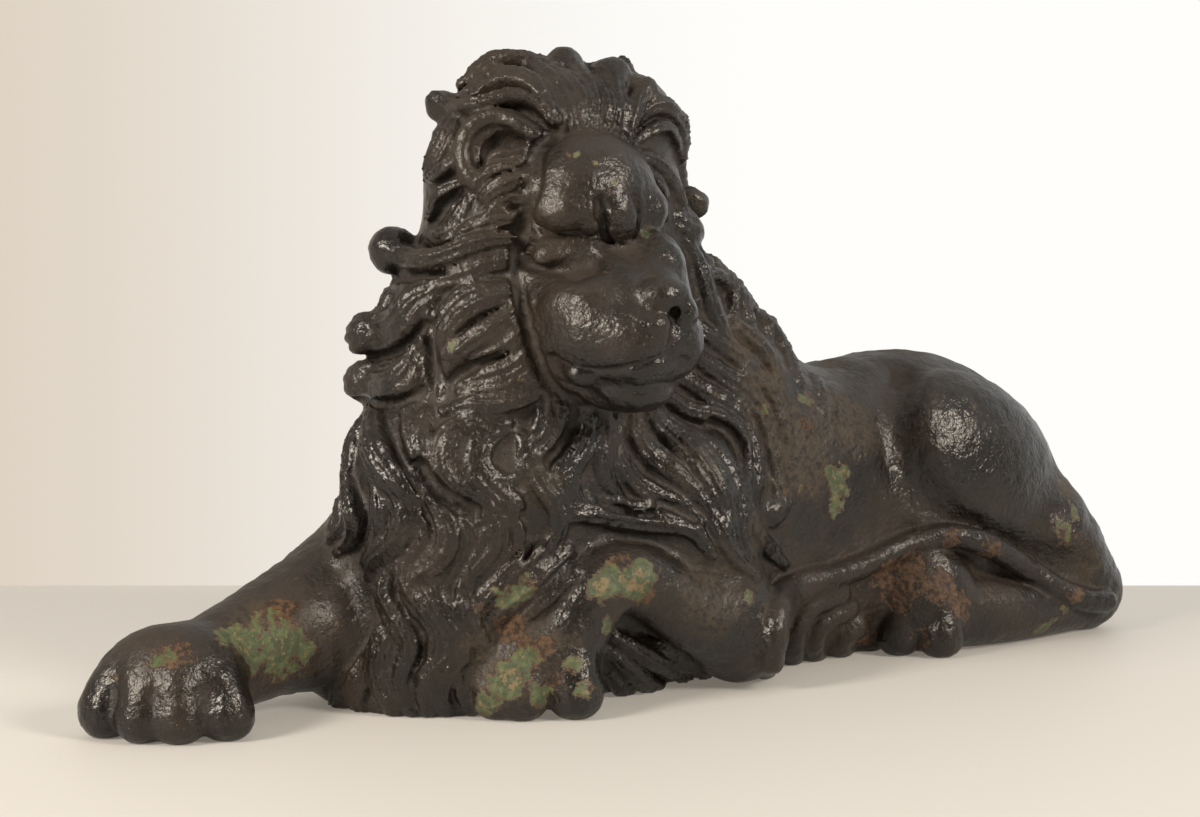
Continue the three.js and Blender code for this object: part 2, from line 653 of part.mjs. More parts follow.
const WRIST_LOCKS = [
  [7, 6, 3, 0, [
    [-92.5, 87.5], [-97.5, 72.5], [-90, 60], [-80, 47.5], [-81, 32.5], [-87.5, 17.5], [-86, 4],
  ]],
  [6.5, 6, 3, 0, [[-79, 82], [-84, 65], [-75, 52.5], [-69, 40], [-71, 25], [-68, 10]]],
  [7, 6, 2, 0, [[-102.5, 80], [-107.5, 67.5], [-102.5, 55], [-94, 42.5], [-96, 27.5], [-102.5, 15]]],
  [6, 6, 3, 0, [[-65, 72.5], [-69, 60], [-63, 47.5], [-58, 35], [-60, 22]]],
  [7, 6, 3, 0, [[-17, 84], [-27.5, 75], [-39, 66], [-50, 56.5], [-56, 45]]],
  [6, 5, 2, 0, [[-12.5, 74], [-22, 65], [-32.5, 57], [-41, 50], [-46, 41]]],
  [6.5, 6, 3, 0, [[-27.5, 87.5], [-39, 80], [-50, 70], [-59, 60], [-63, 49]]],
  [6, 6, 4, 0, [[7, 42], [20, 34], [34, 28], [47, 18]]],
  [6, 6, 5, 0, [[6, 34], [17, 24], [31, 17], [42, 12]]],
  [6, 6, 5, 0, [[5, 24], [12, 15], [25, 9]]],
  [5, 5, 3, 0, [[20, 40], [34, 36], [47, 29], [56, 20]]],
];

// How a lock's width changes from root to tip
const LOCK_TAPER = [
  [0, 0.65],
  [0.35, 1],
  [0.75, 0.82],
  [1, 0.45],
];
const CURLED_TAPER = [
  [0, 0.65],
  [0.35, 1],
  [1, 1],
];

function layLock(forms, points, width, height, lift, tip, blend) {
  const taper = tip > 0 ? CURLED_TAPER : LOCK_TAPER;
  const outward = points.map((point) => clayOutward(forms, point));
  const share = points.map((point, i) => along(taper, i / (points.length - 1)));
  const raised = points.map((point, i) => {
    const arch = Math.sin(Math.PI * clamp((i / (points.length - 1)) * 1.1, 0, 1));
    return add(point, outward[i], lift * arch);
  });
  const widths = share.map((value) => width * value);
  const heights = share.map((value) => height * Math.sqrt(value));
  const laid = [lock(raised, widths, heights, outward, blend)];
  if (tip > 0) {
    laid.push(ball(raised.at(-1), [tip, tip, tip], { blend: 5 }));
  }
  return laid;
}

function drawnLocks(forms) {
  const drawings = [
    ...CROWN_LOCKS,
    ...TEMPLE_LOCKS,
    ...CHEEK_LOCKS,
    ...LEFT_CHEST_LOCKS,
    ...CHEST_LOCKS,
    ...NECK_LOCKS,
    ...FLOOR_LOCKS,
    ...WRIST_LOCKS,
  ];
  return drawings.flatMap(([width, height, lift, tip, path]) => {
    const points = drawnPath(forms, path, 2);
    return layLock(forms, points, width, height, lift, tip, LOCK_BLEND);
  });
}

// Locks on the side away from the eye: rows down the back of the mane, from the crown to the
// shoulder. A lock's run is measured down the mane, over the crown first and then straight down.
const CROWN_RUN = 75;
const BACK_FIRST_BEARING = -28;
const BACK_LAST_BEARING = 134;
const BACK_ROWS = 8;
const BACK_SWAY = 5;

function backPoint(mane, bearing, run) {
  const rise = radians(90 * (1 - Math.min(run / CROWN_RUN, 1)));
  const drop = Math.max(run - CROWN_RUN, 0);
  const turn = radians(bearing);
  const out = [Math.cos(turn) * Math.cos(rise), Math.sin(turn) * Math.cos(rise), Math.sin(rise)];
  const target = add(HEAD_CENTRE, [0, 0, -drop]);
  const start = add(target, out, BACK_THROW);
  return throwOnto(mane, start, out.map((value) => -value), 0, BACK_THROW);
}

function backLocks(forms, mane) {
  const laid = [];
  for (let row = 0; row < BACK_ROWS; row += 1) {
    const start = BACK_FIRST_RUN + row * BACK_ROW_SPACING;
    const rise = radians(90 * Math.min((start + BACK_GIRTH_RUN) / CROWN_RUN, 1));
    const round = BACK_GIRTH * Math.sin(rise);
    const pitch = THREE.MathUtils.radToDeg(BACK_LOCK_SPACING / round);
    const count = Math.floor((BACK_LAST_BEARING - BACK_FIRST_BEARING) / pitch);
    for (let i = 0; i <= count; i += 1) {
      const bearing = BACK_FIRST_BEARING + (i + 0.5 * (row % 2)) * pitch;
      const swing = ((i + row) % 2 === 0 ? 1 : -1) * THREE.MathUtils.radToDeg(BACK_SWAY / round);
      const sways = [0, 1, -0.6, -1.2, 0.4];
      const rows = sways.map((sway, k) => [
        bearing + sway * swing,
        start + (k * BACK_LOCK_LENGTH) / (sways.length - 1),
      ]);
      const points = curve(rows, 2).map(([turn, run]) => backPoint(mane, turn, run));
      const buried = points.every((point) => clayDistance(forms, ...point) < -BACK_LOCK_HEIGHT);
      const lowest = Math.min(...points.map((point) => point[2]));
      if (!buried && lowest > 0) {
        laid.push(...layLock(mane, points, BACK_LOCK_WIDTH, BACK_LOCK_HEIGHT, 1, 0, LOCK_BLEND));
      }
    }
  }
  return laid;
}

// A round cord or groove drawn on the board
function drawnCord(forms, path, radius, lift, options) {
  const points = drawnPath(forms, path, 3);
  const rows = points.map((point) => [...add(point, clayOutward(forms, point), lift), radius]);
  return limb(rows, { steps: 1, ...options });
}

// Deep partings between the locks: radius, and the path drawn on the board
const PARTINGS = [
  [2.2, [[-46, 184], [-54, 181], [-63, 177], [-72, 171]]],
  [3, [[-82, 197], [-83, 185], [-81, 172], [-84, 160]]],
  [2.5, [[-66, 230], [-75, 223], [-86, 220], [-98, 220], [-104, 218]]],
  [2.5, [[-86, 197], [-92, 188], [-104, 181], [-116, 180]]],
  [2.5, [[-88, 164], [-98, 157], [-112, 156], [-120, 159]]],
  [4, [[-89, 127], [-83, 116], [-73, 110], [-64, 105]]],
  [2.5, [[-39, 103], [-35, 96], [-37, 85], [-45, 78]]],
  [2.5, [[-15, 157], [-15, 146], [-20, 137], [-27, 129]]],
  [2.5, [[53, 148], [64, 143], [69, 133], [70, 121]]],
  [2.5, [[0, 109], [9, 104.5], [19, 102.5], [27, 103]]],
  [2.5, [[30, 108], [39, 105], [46, 101]]],
  [2.5, [[-101, 150], [-101, 138], [-95, 125], [-89, 116]]],
  [3.5, [[-54, 302], [-44, 304], [-36, 301], [-30, 295]]],
];

// The ear's rim, lobe and hollow, the tail, its tuft and the crease under the thigh, as drawn
const EAR_RIM = [
  [-29, 288], [-37, 295], [-47, 300], [-58, 299], [-65, 293], [-68, 283], [-66, 274], [-61, 269],
];
const EAR_LOBE = [[-37, 285], [-45, 282], [-52, 283], [-55, 278], [-56, 272]];
const EAR_HOLLOW = [[-55, 280], [-54, 287], [-48, 290], [-41, 287]];
const TAIL = [
  [252, 60], [240, 60], [226, 66], [209, 79], [192, 89], [174, 93.5], [154, 89], [136, 80],
  [120, 73], [104, 70], [93, 66], [88, 57], [86, 44], [85, 30],
];
const THIGH_CREASE = [
  [152, 174], [149, 155], [151, 135], [159, 117], [172, 102], [192, 90], [215, 81], [242, 77],
];
const TUFT = [
  [[113, 68], [97, 63], [89, 50], [86, 35], [80, 21]],
  [[120, 63], [103, 57], [97, 43], [96, 30], [89, 20]],
  [[124, 56], [111, 50], [106, 39], [108, 27]],
  [[128, 47], [119, 40], [122, 30]],
];

function hollows(forms) {
  return [
    drawnCord(forms, EAR_HOLLOW, EAR_HOLLOW_RADIUS, -2, { blend: 2, carve: true }),
    drawnCord(forms, THIGH_CREASE, CREASE_RADIUS, 6.5, { blend: 8, carve: true }),
  ];
}

function partings(forms) {
  const parting = { blend: 2, carve: true };
  return PARTINGS.map(([radius, path]) => drawnCord(forms, path, radius, 2.5, parting));
}

function cords(forms) {
  const seam = { blend: 2 };
  return [
    drawnCord(forms, EAR_RIM, EAR_RIM_RADIUS, 2.5, seam),
    drawnCord(forms, EAR_LOBE, EAR_LOBE_RADIUS, 1, seam),
    drawnCord(forms, TAIL, TAIL_RADIUS, 1, seam),
    ...TUFT.map((strand) => drawnCord(forms, strand, TUFT_RADIUS, -0.5, seam)),
  ];
}

// The whole lion, in the order in which the clay is put on
function lionForms() {
  const body = [
    ...trunk(),
    ...haunch(-1),
    ...haunch(1),
    ...shoulders(),
    ...forelegs(),
  ];
  const mane = maneMasses();
  const base = [...body, ...mane];
  return [
    ...base,
    ...paw(LEFT_PAW),
    ...paw(RIGHT_PAW),
    ...hindPaw(-1, -62),
    ...hindPaw(1, -118),
    ...hollows(base),
    ...backLocks(base, mane),
    ...drawnLocks(base),
    ...partings(base),
    ...cords(base),
    ...face(base),
  ];
}

// The clay's distance at the corners of a grid, found only in blocks that the surface may cross
function sampleGrid(forms) {
  const size = GRID_LOW.map((low, k) => Math.ceil((GRID_HIGH[k] - low) / (GRID_STEP * BLOCK)) * BLOCK);
  const values = new Float32Array(size[0] * size[1] * size[2]).fill(1000);
  const side = GRID_STEP * BLOCK;
  const reach = side * HALF_DIAGONAL + FORM_MARGIN;
  const at = (i, j, k) => (i * size[1] + j) * size[2] + k;
  function fillBlock(i, j, k) {
    const low = [i, j, k].map((index, axis) => GRID_LOW[axis] + index * GRID_STEP);
    const middle = low.map((value) => value + side / 2);
    const overall = clayDistance(forms, ...middle);
    const near = forms.filter((form) => {
      const pad = form.blend + 2;
      return low.every((value, axis) => {
        return value + side > form.low[axis] - pad && value < form.high[axis] + pad;
      });
    });
    for (let a = 0; a < BLOCK; a += 1) {
      for (let b = 0; b < BLOCK; b += 1) {
        for (let c = 0; c < BLOCK; c += 1) {
          const x = low[0] + a * GRID_STEP;
          const y = low[1] + b * GRID_STEP;
          const z = low[2] + c * GRID_STEP;
          const clay = Math.abs(overall) < reach ? clayDistance(near, x, y, z) : overall;
          values[at(i + a, j + b, k + c)] = Math.max(clay, -z) || 1e-6;
        }
      }
    }
  }
  for (let i = 0; i < size[0]; i += BLOCK) {
    for (let j = 0; j < size[1]; j += BLOCK) {
      for (let k = 0; k < size[2]; k += BLOCK) {
        fillBlock(i, j, k);
      }
    }
  }
  return { size, values, at };
}

// Each grid cube is split into six pyramids around its long diagonal, and each pyramid that the
// surface crosses gives one or two triangles
const PYRAMIDS = [
  [0, 1, 3, 7],
  [0, 3, 2, 7],
  [0, 2, 6, 7],
  [0, 6, 4, 7],
  [0, 4, 5, 7],
  [0, 5, 1, 7],
];

function surfaceOf({ size, values, at }) {
  const points = [];
  const triangles = [];
  const known = new Map();
  function place(index) {
    const k = index % size[2];
    const j = Math.floor(index / size[2]) % size[1];
    const i = Math.floor(index / (size[1] * size[2]));
    return [i, j, k].map((value, axis) => GRID_LOW[axis] + value * GRID_STEP);
  }
  function crossing(a, b) {
    const key = a < b ? a * values.length + b : b * values.length + a;
    if (!known.has(key)) {
      const t = clamp(values[a] / (values[a] - values[b]), NEAREST_CROSSING, 1 - NEAREST_CROSSING);
      const from = place(a);
      known.set(key, points.length);
      const point = add(from, add(place(b), from, -1), t);
      points.push([point[0], point[1], Math.abs(point[2]) < FLOOR_BAND ? 0 : point[2]]);
    }
    return known.get(key);
  }
  function triangle(a, b, c, inside, outside) {
    const normal = cross(add(points[b], points[a], -1), add(points[c], points[a], -1));
    const outward = add(place(outside), place(inside), -1);
    triangles.push(dot(normal, outward) > 0 ? [a, b, c] : [a, c, b]);
  }
  for (let i = 0; i < size[0] - 1; i += 1) {
    for (let j = 0; j < size[1] - 1; j += 1) {
      for (let k = 0; k < size[2] - 1; k += 1) {
        const corners = [];
        for (let bit = 0; bit < 8; bit += 1) {
          corners.push(at(i + (bit & 1), j + ((bit >> 1) & 1), k + ((bit >> 2) & 1)));
        }
        const below = corners.filter((corner) => values[corner] < 0).length;
        if (below === 0 || below === 8) {
          continue;
        }
        for (const pyramid of PYRAMIDS) {
          const own = pyramid.map((corner) => corners[corner]);
          const inside = own.filter((corner) => values[corner] < 0);
          const outside = own.filter((corner) => values[corner] >= 0);
          if (inside.length === 1) {
            const [a, b, c] = outside.map((corner) => crossing(inside[0], corner));
            triangle(a, b, c, inside[0], outside[0]);
          } else if (inside.length === 3) {
            const [a, b, c] = inside.map((corner) => crossing(corner, outside[0]));
            triangle(a, b, c, inside[0], outside[0]);
          } else if (inside.length === 2) {
            const a = crossing(inside[0], outside[0]);
            const b = crossing(inside[0], outside[1]);
            const c = crossing(inside[1], outside[1]);
            const d = crossing(inside[1], outside[0]);
            triangle(a, b, c, inside[0], outside[0]);
            triangle(a, c, d, inside[0], outside[0]);
          }
        }
      }
    }
  }
  return { points, triangles };
}

// The largest closed piece of the surface; crumbs inside or beside it are dropped
function largestPiece({ points, triangles }) {
  const parent = points.map((_, i) => i);
  function root(i) {
    let top = i;
    while (parent[top] !== top) {
      parent[top] = parent[parent[top]];
      top = parent[top];
    }
    return top;
  }
  for (const [a, b, c] of triangles) {
    parent[root(b)] = root(a);
    parent[root(c)] = root(a);
  }
  const counts = new Map();
  for (const [a] of triangles) {
    counts.set(root(a), (counts.get(root(a)) ?? 0) + 1);
  }
  const [largest] = [...counts].sort((a, b) => b[1] - a[1])[0];
  return { points, triangles: triangles.filter(([a]) => root(a) === largest) };
}

// Thinning: the edge whose collapse changes the surface least goes first. Each corner carries the
// sum of its triangles' planes as ten numbers, and the cost is the squared distance to them.
const FLATNESS_WEIGHT = 0.002;
const SMALLEST_TURN = 0.25;
const THINNEST_TRIANGLE = 0.04;

function planeSum(normal, offset, weight) {
  const [a, b, c] = normal;
  const d = offset;
  return [a * a, a * b, a * c, a * d, b * b, b * c, b * d, c * c, c * d, d * d].map(
    (value) => value * weight,
  );
}

function costAt(sum, [x, y, z]) {
  return (
    sum[0] * x * x +
    2 * sum[1] * x * y +
    2 * sum[2] * x * z +
    2 * sum[3] * x +
    sum[4] * y * y +
    2 * sum[5] * y * z +
    2 * sum[6] * y +
    sum[7] * z * z +
    2 * sum[8] * z +
    sum[9]
  );
}

// The point with the least cost, where the planes settle one
function bestPoint(sum) {
  const [a, b, c, d, e, f, g, h, i] = sum;
  const first = e * h - f * f;
  const second = c * f - b * h;
  const third = b * f - c * e;
  const size = a * first + b * second + c * third;
  if (Math.abs(size) < 1e-9) {
    return null;
  }
  const x = -(first * d + second * g + third * i) / size;
  const y = -(second * d + (a * h - c * c) * g + (b * c - a * f) * i) / size;
  const z = -(third * d + (b * c - a * f) * g + (a * e - b * b) * i) / size;
  return [x, y, z];
}

class Heap {
  constructor() {
    this.items = [];
  }

  push(item) {
    const { items } = this;
    let i = items.push(item) - 1;
    while (i > 0) {
      const up = (i - 1) >> 1;
      if (items[up].cost <= item.cost) {
        break;
      }
      items[i] = items[up];
      i = up;
    }
    items[i] = item;
  }

  pop() {
    const { items } = this;
    const top = items[0];
    const last = items.pop();
    if (items.length > 0) {
      let i = 0;
      for (;;) {
        let down = 2 * i + 1;
        if (down >= items.length) {
          break;
        }
        if (down + 1 < items.length && items[down + 1].cost < items[down].cost) {
          down += 1;
        }
        if (items[down].cost >= last.cost) {
          break;
        }
        items[i] = items[down];
        i = down;
      }
      items[i] = last;
    }
    return top;
  }
}

function triangleNormal(a, b, c) {
  return cross(add(b, a, -1), add(c, a, -1));
}

function thin({ points, triangles }, kept) {
  const sums = points.map(() => new Array(10).fill(0));
  const around = points.map(() => new Set());
  const alive = triangles.map(() => true);
  const version = points.map(() => 0);
  const onFloor = points.map((point) => point[2] === 0);
  const heap = new Heap();
  let left = triangles.length;

  triangles.forEach(([a, b, c], index) => {
    const normal = triangleNormal(points[a], points[b], points[c]);
    const area = length(normal) / 2;
    const flat = unit(normal);
    const sum = planeSum(flat, -dot(flat, points[a]), area);
    for (const corner of [a, b, c]) {
      around[corner].add(index);
      sums[corner] = sums[corner].map((value, k) => value + sum[k]);
      for (let axis = 0; axis < 3; axis += 1) {
        const still = planeSum(UPRIGHT[axis], -points[corner][axis], area * FLATNESS_WEIGHT);
        sums[corner] = sums[corner].map((value, k) => value + still[k]);
      }
    }
  });

  function neighbours(corner) {
    const found = new Set();
    for (const index of around[corner]) {
      for (const other of triangles[index]) {
        found.add(other);
      }
    }
    found.delete(corner);
    return found;
  }

  function offer(a, b) {
    const sum = sums[a].map((value, k) => value + sums[b][k]);
    const middle = add(points[a], points[b]).map((value) => value / 2);
    const choices = [points[a], points[b], middle];
    const best = bestPoint(sum);
    const size = length(add(points[a], points[b], -1));
    if (best && length(add(best, middle, -1)) < 2 * size) {
      choices.push(best);
    }
    let chosen = choices.map((point) => [...point]);
    chosen.forEach((point) => {
      point[2] = onFloor[a] || onFloor[b] ? 0 : Math.max(point[2], LOWEST_OFF_FLOOR);
    });
    if (onFloor[a] !== onFloor[b]) {
      chosen = [[...points[onFloor[a] ? a : b]]];
    }
    const costs = chosen.map((point) => costAt(sum, point));
    const cost = Math.min(...costs);
    const point = chosen[costs.indexOf(cost)];
    heap.push({ cost, a, b, point, stamp: version[a] + version[b] });
  }

  function turnsOver(corner, other, point) {
    for (const index of around[corner]) {
      const own = triangles[index];
      if (own.includes(other)) {
        continue;
      }
      const before = triangleNormal(...own.map((item) => points[item]));
      const after = triangleNormal(...own.map((item) => (item === corner ? point : points[item])));
      if (dot(unit(before), unit(after)) < SMALLEST_TURN) {
        return true;
      }
      const sides = own.map((item, i) => {
        const from = item === corner ? point : points[item];
        const next = own[(i + 1) % 3];
        return length(add(next === corner ? point : points[next], from, -1));
      });
      if (length(after) < THINNEST_TRIANGLE * Math.max(...sides) ** 2) {
        return true;
      }
    }
    return false;
  }

  for (let corner = 0; corner < points.length; corner += 1) {
    for (const other of neighbours(corner)) {
      if (other > corner) {
        offer(corner, other);
      }
    }
  }

  while (left > kept && heap.items.length > 0) {
    const { a, b, point, stamp } = heap.pop();
    if (stamp !== version[a] + version[b] || around[a].size === 0 || around[b].size === 0) {
      continue;
    }
    const nextToA = neighbours(a);
    if (!nextToA.has(b)) {
      continue;
    }
    const shared = [...neighbours(b)].filter((corner) => nextToA.has(corner));
    if (shared.length !== 2 || turnsOver(a, b, point) || turnsOver(b, a, point)) {
      continue;
    }
    for (const index of [...around[b]]) {
      const own = triangles[index];
      if (own.includes(a)) {
        alive[index] = false;
        left -= 1;
        own.forEach((corner) => around[corner].delete(index));
      } else {
        triangles[index] = own.map((corner) => (corner === b ? a : corner));
        around[a].add(index);
      }
    }
    around[b].clear();
    sums[a] = sums[a].map((value, k) => value + sums[b][k]);
    points[a] = point;
    onFloor[a] = onFloor[a] || onFloor[b];
    version[a] += 1;
    version[b] += 1;
    for (const other of neighbours(a)) {
      offer(a, other);
    }
  }
  return { points, triangles: triangles.filter((_, index) => alive[index]) };
}

// The solid's geometry: at its real length, and centred over its footprint
function lionGeometry() {
  const surface = largestPiece(surfaceOf(sampleGrid(lionForms())));
  const { points, triangles } = thin(surface, TRIANGLES_KEPT);
  const used = [...new Set(triangles.flat())];
  const order = new Map(used.map((corner, i) => [corner, i]));
  const geometry = new THREE.BufferGeometry();
  const positions = used.flatMap((corner) => points[corner]);
  geometry.setAttribute("position", new THREE.Float32BufferAttribute(positions, 3));
  geometry.setIndex(triangles.flat().map((corner) => order.get(corner)));
  const scale = LENGTH / DRAWN_LENGTH;
  geometry.scale(scale, scale, scale);
  geometry.computeBoundingBox();
  const { min, max } = geometry.boundingBox;
  geometry.translate(-(min.x + max.x) / 2, -(min.y + max.y) / 2, -min.z);
  geometry.computeVertexNormals();
  return geometry;
}

const paintedIron = new THREE.MeshStandardMaterial({
  color: 0x2a2622,
  roughness: 0.42,
  metalness: 0.35,
});

const lion = new THREE.Mesh(lionGeometry(), paintedIron);
lion.name = "lion";

const doorstop = new THREE.Group();
doorstop.add(lion);

export default doorstop;
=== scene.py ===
import math

import bpy
import numpy as np
from mathutils import Matrix, Vector
from mathutils.bvhtree import BVHTree
from mathutils.noise import noise as noise_at


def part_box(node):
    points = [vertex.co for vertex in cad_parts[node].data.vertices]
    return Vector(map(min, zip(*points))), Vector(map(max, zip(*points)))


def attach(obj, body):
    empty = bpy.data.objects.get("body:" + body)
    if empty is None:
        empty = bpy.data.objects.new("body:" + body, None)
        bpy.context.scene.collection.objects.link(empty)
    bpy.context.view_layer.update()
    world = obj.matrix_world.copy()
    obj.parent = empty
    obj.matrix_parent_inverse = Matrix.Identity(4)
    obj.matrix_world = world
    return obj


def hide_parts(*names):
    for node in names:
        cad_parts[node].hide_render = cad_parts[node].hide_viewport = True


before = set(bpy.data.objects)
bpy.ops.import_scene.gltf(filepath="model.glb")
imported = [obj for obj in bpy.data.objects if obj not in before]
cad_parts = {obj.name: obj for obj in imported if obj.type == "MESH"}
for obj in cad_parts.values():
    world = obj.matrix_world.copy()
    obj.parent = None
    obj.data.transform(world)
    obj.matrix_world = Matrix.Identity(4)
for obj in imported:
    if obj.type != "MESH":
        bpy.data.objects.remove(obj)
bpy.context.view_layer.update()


# The trunk: the barrel and belly of the lion, which is one hollow iron casting. It is drawn here as
# clay, in millimetres: rounded forms that melt into each other, in the order they are put on.
CENTRE_LINE = 8


def curve(rows, steps):
    """A smooth curve through rows of any number of values."""
    rows = np.asarray(rows, float)
    ends = np.vstack([2 * rows[0] - rows[1], rows, 2 * rows[-1] - rows[-2]])
    points = []
    for a, b, c, d in zip(ends, ends[1:], ends[2:], ends[3:]):
        for t in np.arange(steps) / steps:
            bend = (2 * a - 5 * b + 4 * c - d) * t**2
            twist = (3 * b - a - 3 * c + d) * t**3
            points.append((2 * b + (c - a) * t + bend + twist) / 2)
    points.append(rows[-1])
    return np.array(points)


class Ball:
    """An ellipsoid; the rows of axes are its own three directions."""

    def __init__(self, centre, radii, axes=None, blend=8, carve=False):
        self.centre = np.float32(centre)
        self.radii = np.float32(radii)
        self.axes = np.float32(np.eye(3) if axes is None else axes)
        self.blend = np.float32(blend)
        self.carve = carve
        self.low = self.centre - self.radii.max()
        self.high = self.centre + self.radii.max()

    def distance(self, points):
        own = ((points - self.centre) @ self.axes.T) / self.radii
        near = np.sqrt((own * own).sum(-1))
        slope = own / self.radii
        return near * (near - 1) / (np.sqrt((slope * slope).sum(-1)) + np.float32(1e-9))


class Limb:
    """A round limb through rows of x, y, z and radius."""

    def __init__(self, rows, blend=8, carve=False, steps=5):
        self.rows = np.float32(curve(rows, steps))
        self.blend = np.float32(blend)
        self.carve = carve
        self.low = (self.rows[:, :3] - self.rows[:, 3:]).min(0)
        self.high = (self.rows[:, :3] + self.rows[:, 3:]).max(0)

    def distance(self, points):
        best = np.full(points.shape[:-1], np.inf, np.float32)
        for a, b in zip(self.rows, self.rows[1:]):
            run = b[:3] - a[:3]
            t = np.clip(((points - a[:3]) @ run) / (run @ run + np.float32(1e-9)), 0, 1)
            gap = points - a[:3] - t[..., None] * run
            radius = a[3] + t * (b[3] - a[3])
            best = np.minimum(best, np.sqrt((gap * gap).sum(-1)) - radius)
        return best


trunk = [
    Limb(
        [
            (-60, CENTRE_LINE, 84, 60),
            (20, CENTRE_LINE, 88, 59),
            (100, CENTRE_LINE, 88, 56),
            (182, CENTRE_LINE, 92, 61.5),
            (224, CENTRE_LINE, 82, 56),
        ],
        blend=20,
    ),
    Limb(
        [
            (-60, CENTRE_LINE, 42, 56),
            (60, CENTRE_LINE, 42, 56),
            (170, CENTRE_LINE, 42, 56),
            (238, CENTRE_LINE, 40, 46),
        ],
        blend=20,
    ),
]


# The haunches and hind legs, cast with the trunk. Each thigh is a leaning oval over a folded leg
# that lies along the floor, and both melt into the flank.
THIGH_LEAN = math.radians(33)
THIGH_AXES = [
    (math.cos(THIGH_LEAN), 0, -math.sin(THIGH_LEAN)),
    (0, 1, 0),
    (math.sin(THIGH_LEAN), 0, math.cos(THIGH_LEAN)),
]


def haunch(side):
    y = CENTRE_LINE
    return [
        Ball((189, y + side * 44, 85), (72, 37, 55), THIGH_AXES, blend=6),
        Limb([(240, y + side * 52, 50, 34), (268, y + side * 62, 22, 22)], blend=14),
        Limb(
            [
                (264, y + side * 64, 17, 17),
                (200, y + side * 66, 18, 18),
                (150, y + side * 58, 22, 21),
            ],
            blend=6,
        ),
    ]


haunches = haunch(-1) + haunch(1)


# The shoulders, the forelegs and the paws, cast with the trunk. The left foreleg is folded with its
# paw under the chest, and the right one reaches forward. The toes are thick fingers that bend down
# to the floor.
shoulders = [
    Ball((-8, -34, 82), (44, 34, 44), blend=12),
    Ball((-30, 58, 72), (52, 30, 52), blend=14),
]
forelegs = [
    Limb([(-6, -40, 68, 30), (16, -50, 28, 25)], blend=8),
    Limb(
        [
            (18, -52, 26, 24),
            (-20, -57, 42, 18),
            (-50, -57, 59, 16),
            (-72, -54, 56, 17),
            (-88, -46, 30, 20),
        ],
        blend=5,
    ),
    Limb([(-90, 52, 76, 38), (-140, 47, 45, 36), (-195, 38, 32, 26), (-238, 30, 22, 22)], blend=10),
]


# A toe's root and knuckle spread less than its tip and lie behind it, and each has its own girth
ROOT_SPREAD, ROOT_AHEAD, ROOT_GIRTH = 0.6, -22, 0.85
KNUCKLE_SPREAD, KNUCKLE_AHEAD, KNUCKLE_GIRTH = 0.8, -4, 0.98
TIP_AHEAD, TIP_GIRTH, TIP_HEIGHT = 2, 1.04, 1.1
ROOT_LIFT = 3
PAD_HEIGHT, PAD_FLATNESS = 0.7, 0.8
PAD_DROP = 2


def paw(centre, heading, across, reach, radius, rise, size, back, blend=2.2):
    """Toes fan out ahead of the centre; heading 0 points along -Y and turns towards +X."""
    turn = math.radians(heading)
    ahead = np.array([math.sin(turn), -math.cos(turn), 0])
    sideways = np.array([math.cos(turn), math.sin(turn), 0])
    middle = np.array([centre[0], centre[1], 0])
    height = size[2] - PAD_DROP
    axes = [sideways, ahead, (0, 0, 1)]
    palm = middle - ahead * back + (0, 0, height)
    forms = [Ball(palm, (size[0], size[1], height), axes, blend=6)]
    for offset, forward in zip(across, reach):
        root = middle + sideways * offset * ROOT_SPREAD + ahead * (forward + ROOT_AHEAD)
        knuckle = middle + sideways * offset * KNUCKLE_SPREAD + ahead * (forward + KNUCKLE_AHEAD)
        tip = middle + sideways * offset + ahead * (forward + TIP_AHEAD)
        toe = [
            (root[0], root[1], rise - radius + ROOT_LIFT, radius * ROOT_GIRTH),
            (knuckle[0], knuckle[1], rise - radius, radius * KNUCKLE_GIRTH),
            (tip[0], tip[1], radius * TIP_HEIGHT, radius * TIP_GIRTH),
        ]
        toe_pad = (tip[0], tip[1], radius * PAD_HEIGHT)
        forms.append(Limb(toe, blend=blend, steps=3))
        forms.append(Ball(toe_pad, (radius, radius, radius * PAD_FLATNESS), blend=blend))
    return forms


left_paw = paw(
    centre=(-99, -41),
    heading=-38,
    across=(-15, -4, 20),
    reach=(7, 10, 7),
    radius=12.5,
    rise=41,
    size=(30, 27, 27),
    back=8,
    blend=2.6,
)
right_paw = paw(
    centre=(-250, 22),
    heading=-46,
    across=(-27, -8, 8.5, 27),
    reach=(4, 11, 11, 2),
    radius=11.5,
    rise=37,
    size=(33, 27, 26),
    back=8,
    blend=3.5,
)
paws = left_paw + right_paw
for side, heading in ((-1, -62), (1, -118)):
    paws += paw(
        centre=(143, CENTRE_LINE + side * 54),
        heading=heading,
        across=(-22, -4, 17),
        reach=(4, 8, 4),
        radius=11.5,
        rise=39,
        size=(30, 27, 34),
        back=8,
    )


# The mane: thick curling locks, cast in relief over the crest, the head and the chest and down to
# the floor in front. The near ones are drawn on a board in front of the eye and thrown onto the
# clay.
HEAD_CENTRE = np.array([-52, 6, 242])
mane_masses = [
    Limb([(-36, 6, 212, 50), (12, 8, 156, 50), (76, 8, 109, 48)], blend=20),
    Ball((-52, 4, 226), (64, 46, 60), blend=18),
    Ball((-53, 5, 249), (64, 46, 46), blend=14),
    Ball((-24, -12, 272), (26, 24, 24), blend=12),
    Ball((-66, 4, 165), (70, 58, 78), blend=18),
    Ball((-88, 10, 100), (72, 62, 66), blend=18),
    Limb([(-100, 14, 50, 57), (-108, 20, 5, 53)], blend=18),
]
body = trunk + haunches + shoulders + forelegs + mane_masses


FAR_AWAY = 1000


def melt(a, b, seam):
    """The smaller of two distances, with a soft seam."""
    overlap = np.maximum(seam - np.abs(a - b), 0) / seam
    return np.minimum(a, b) - overlap * overlap * (seam / 4)


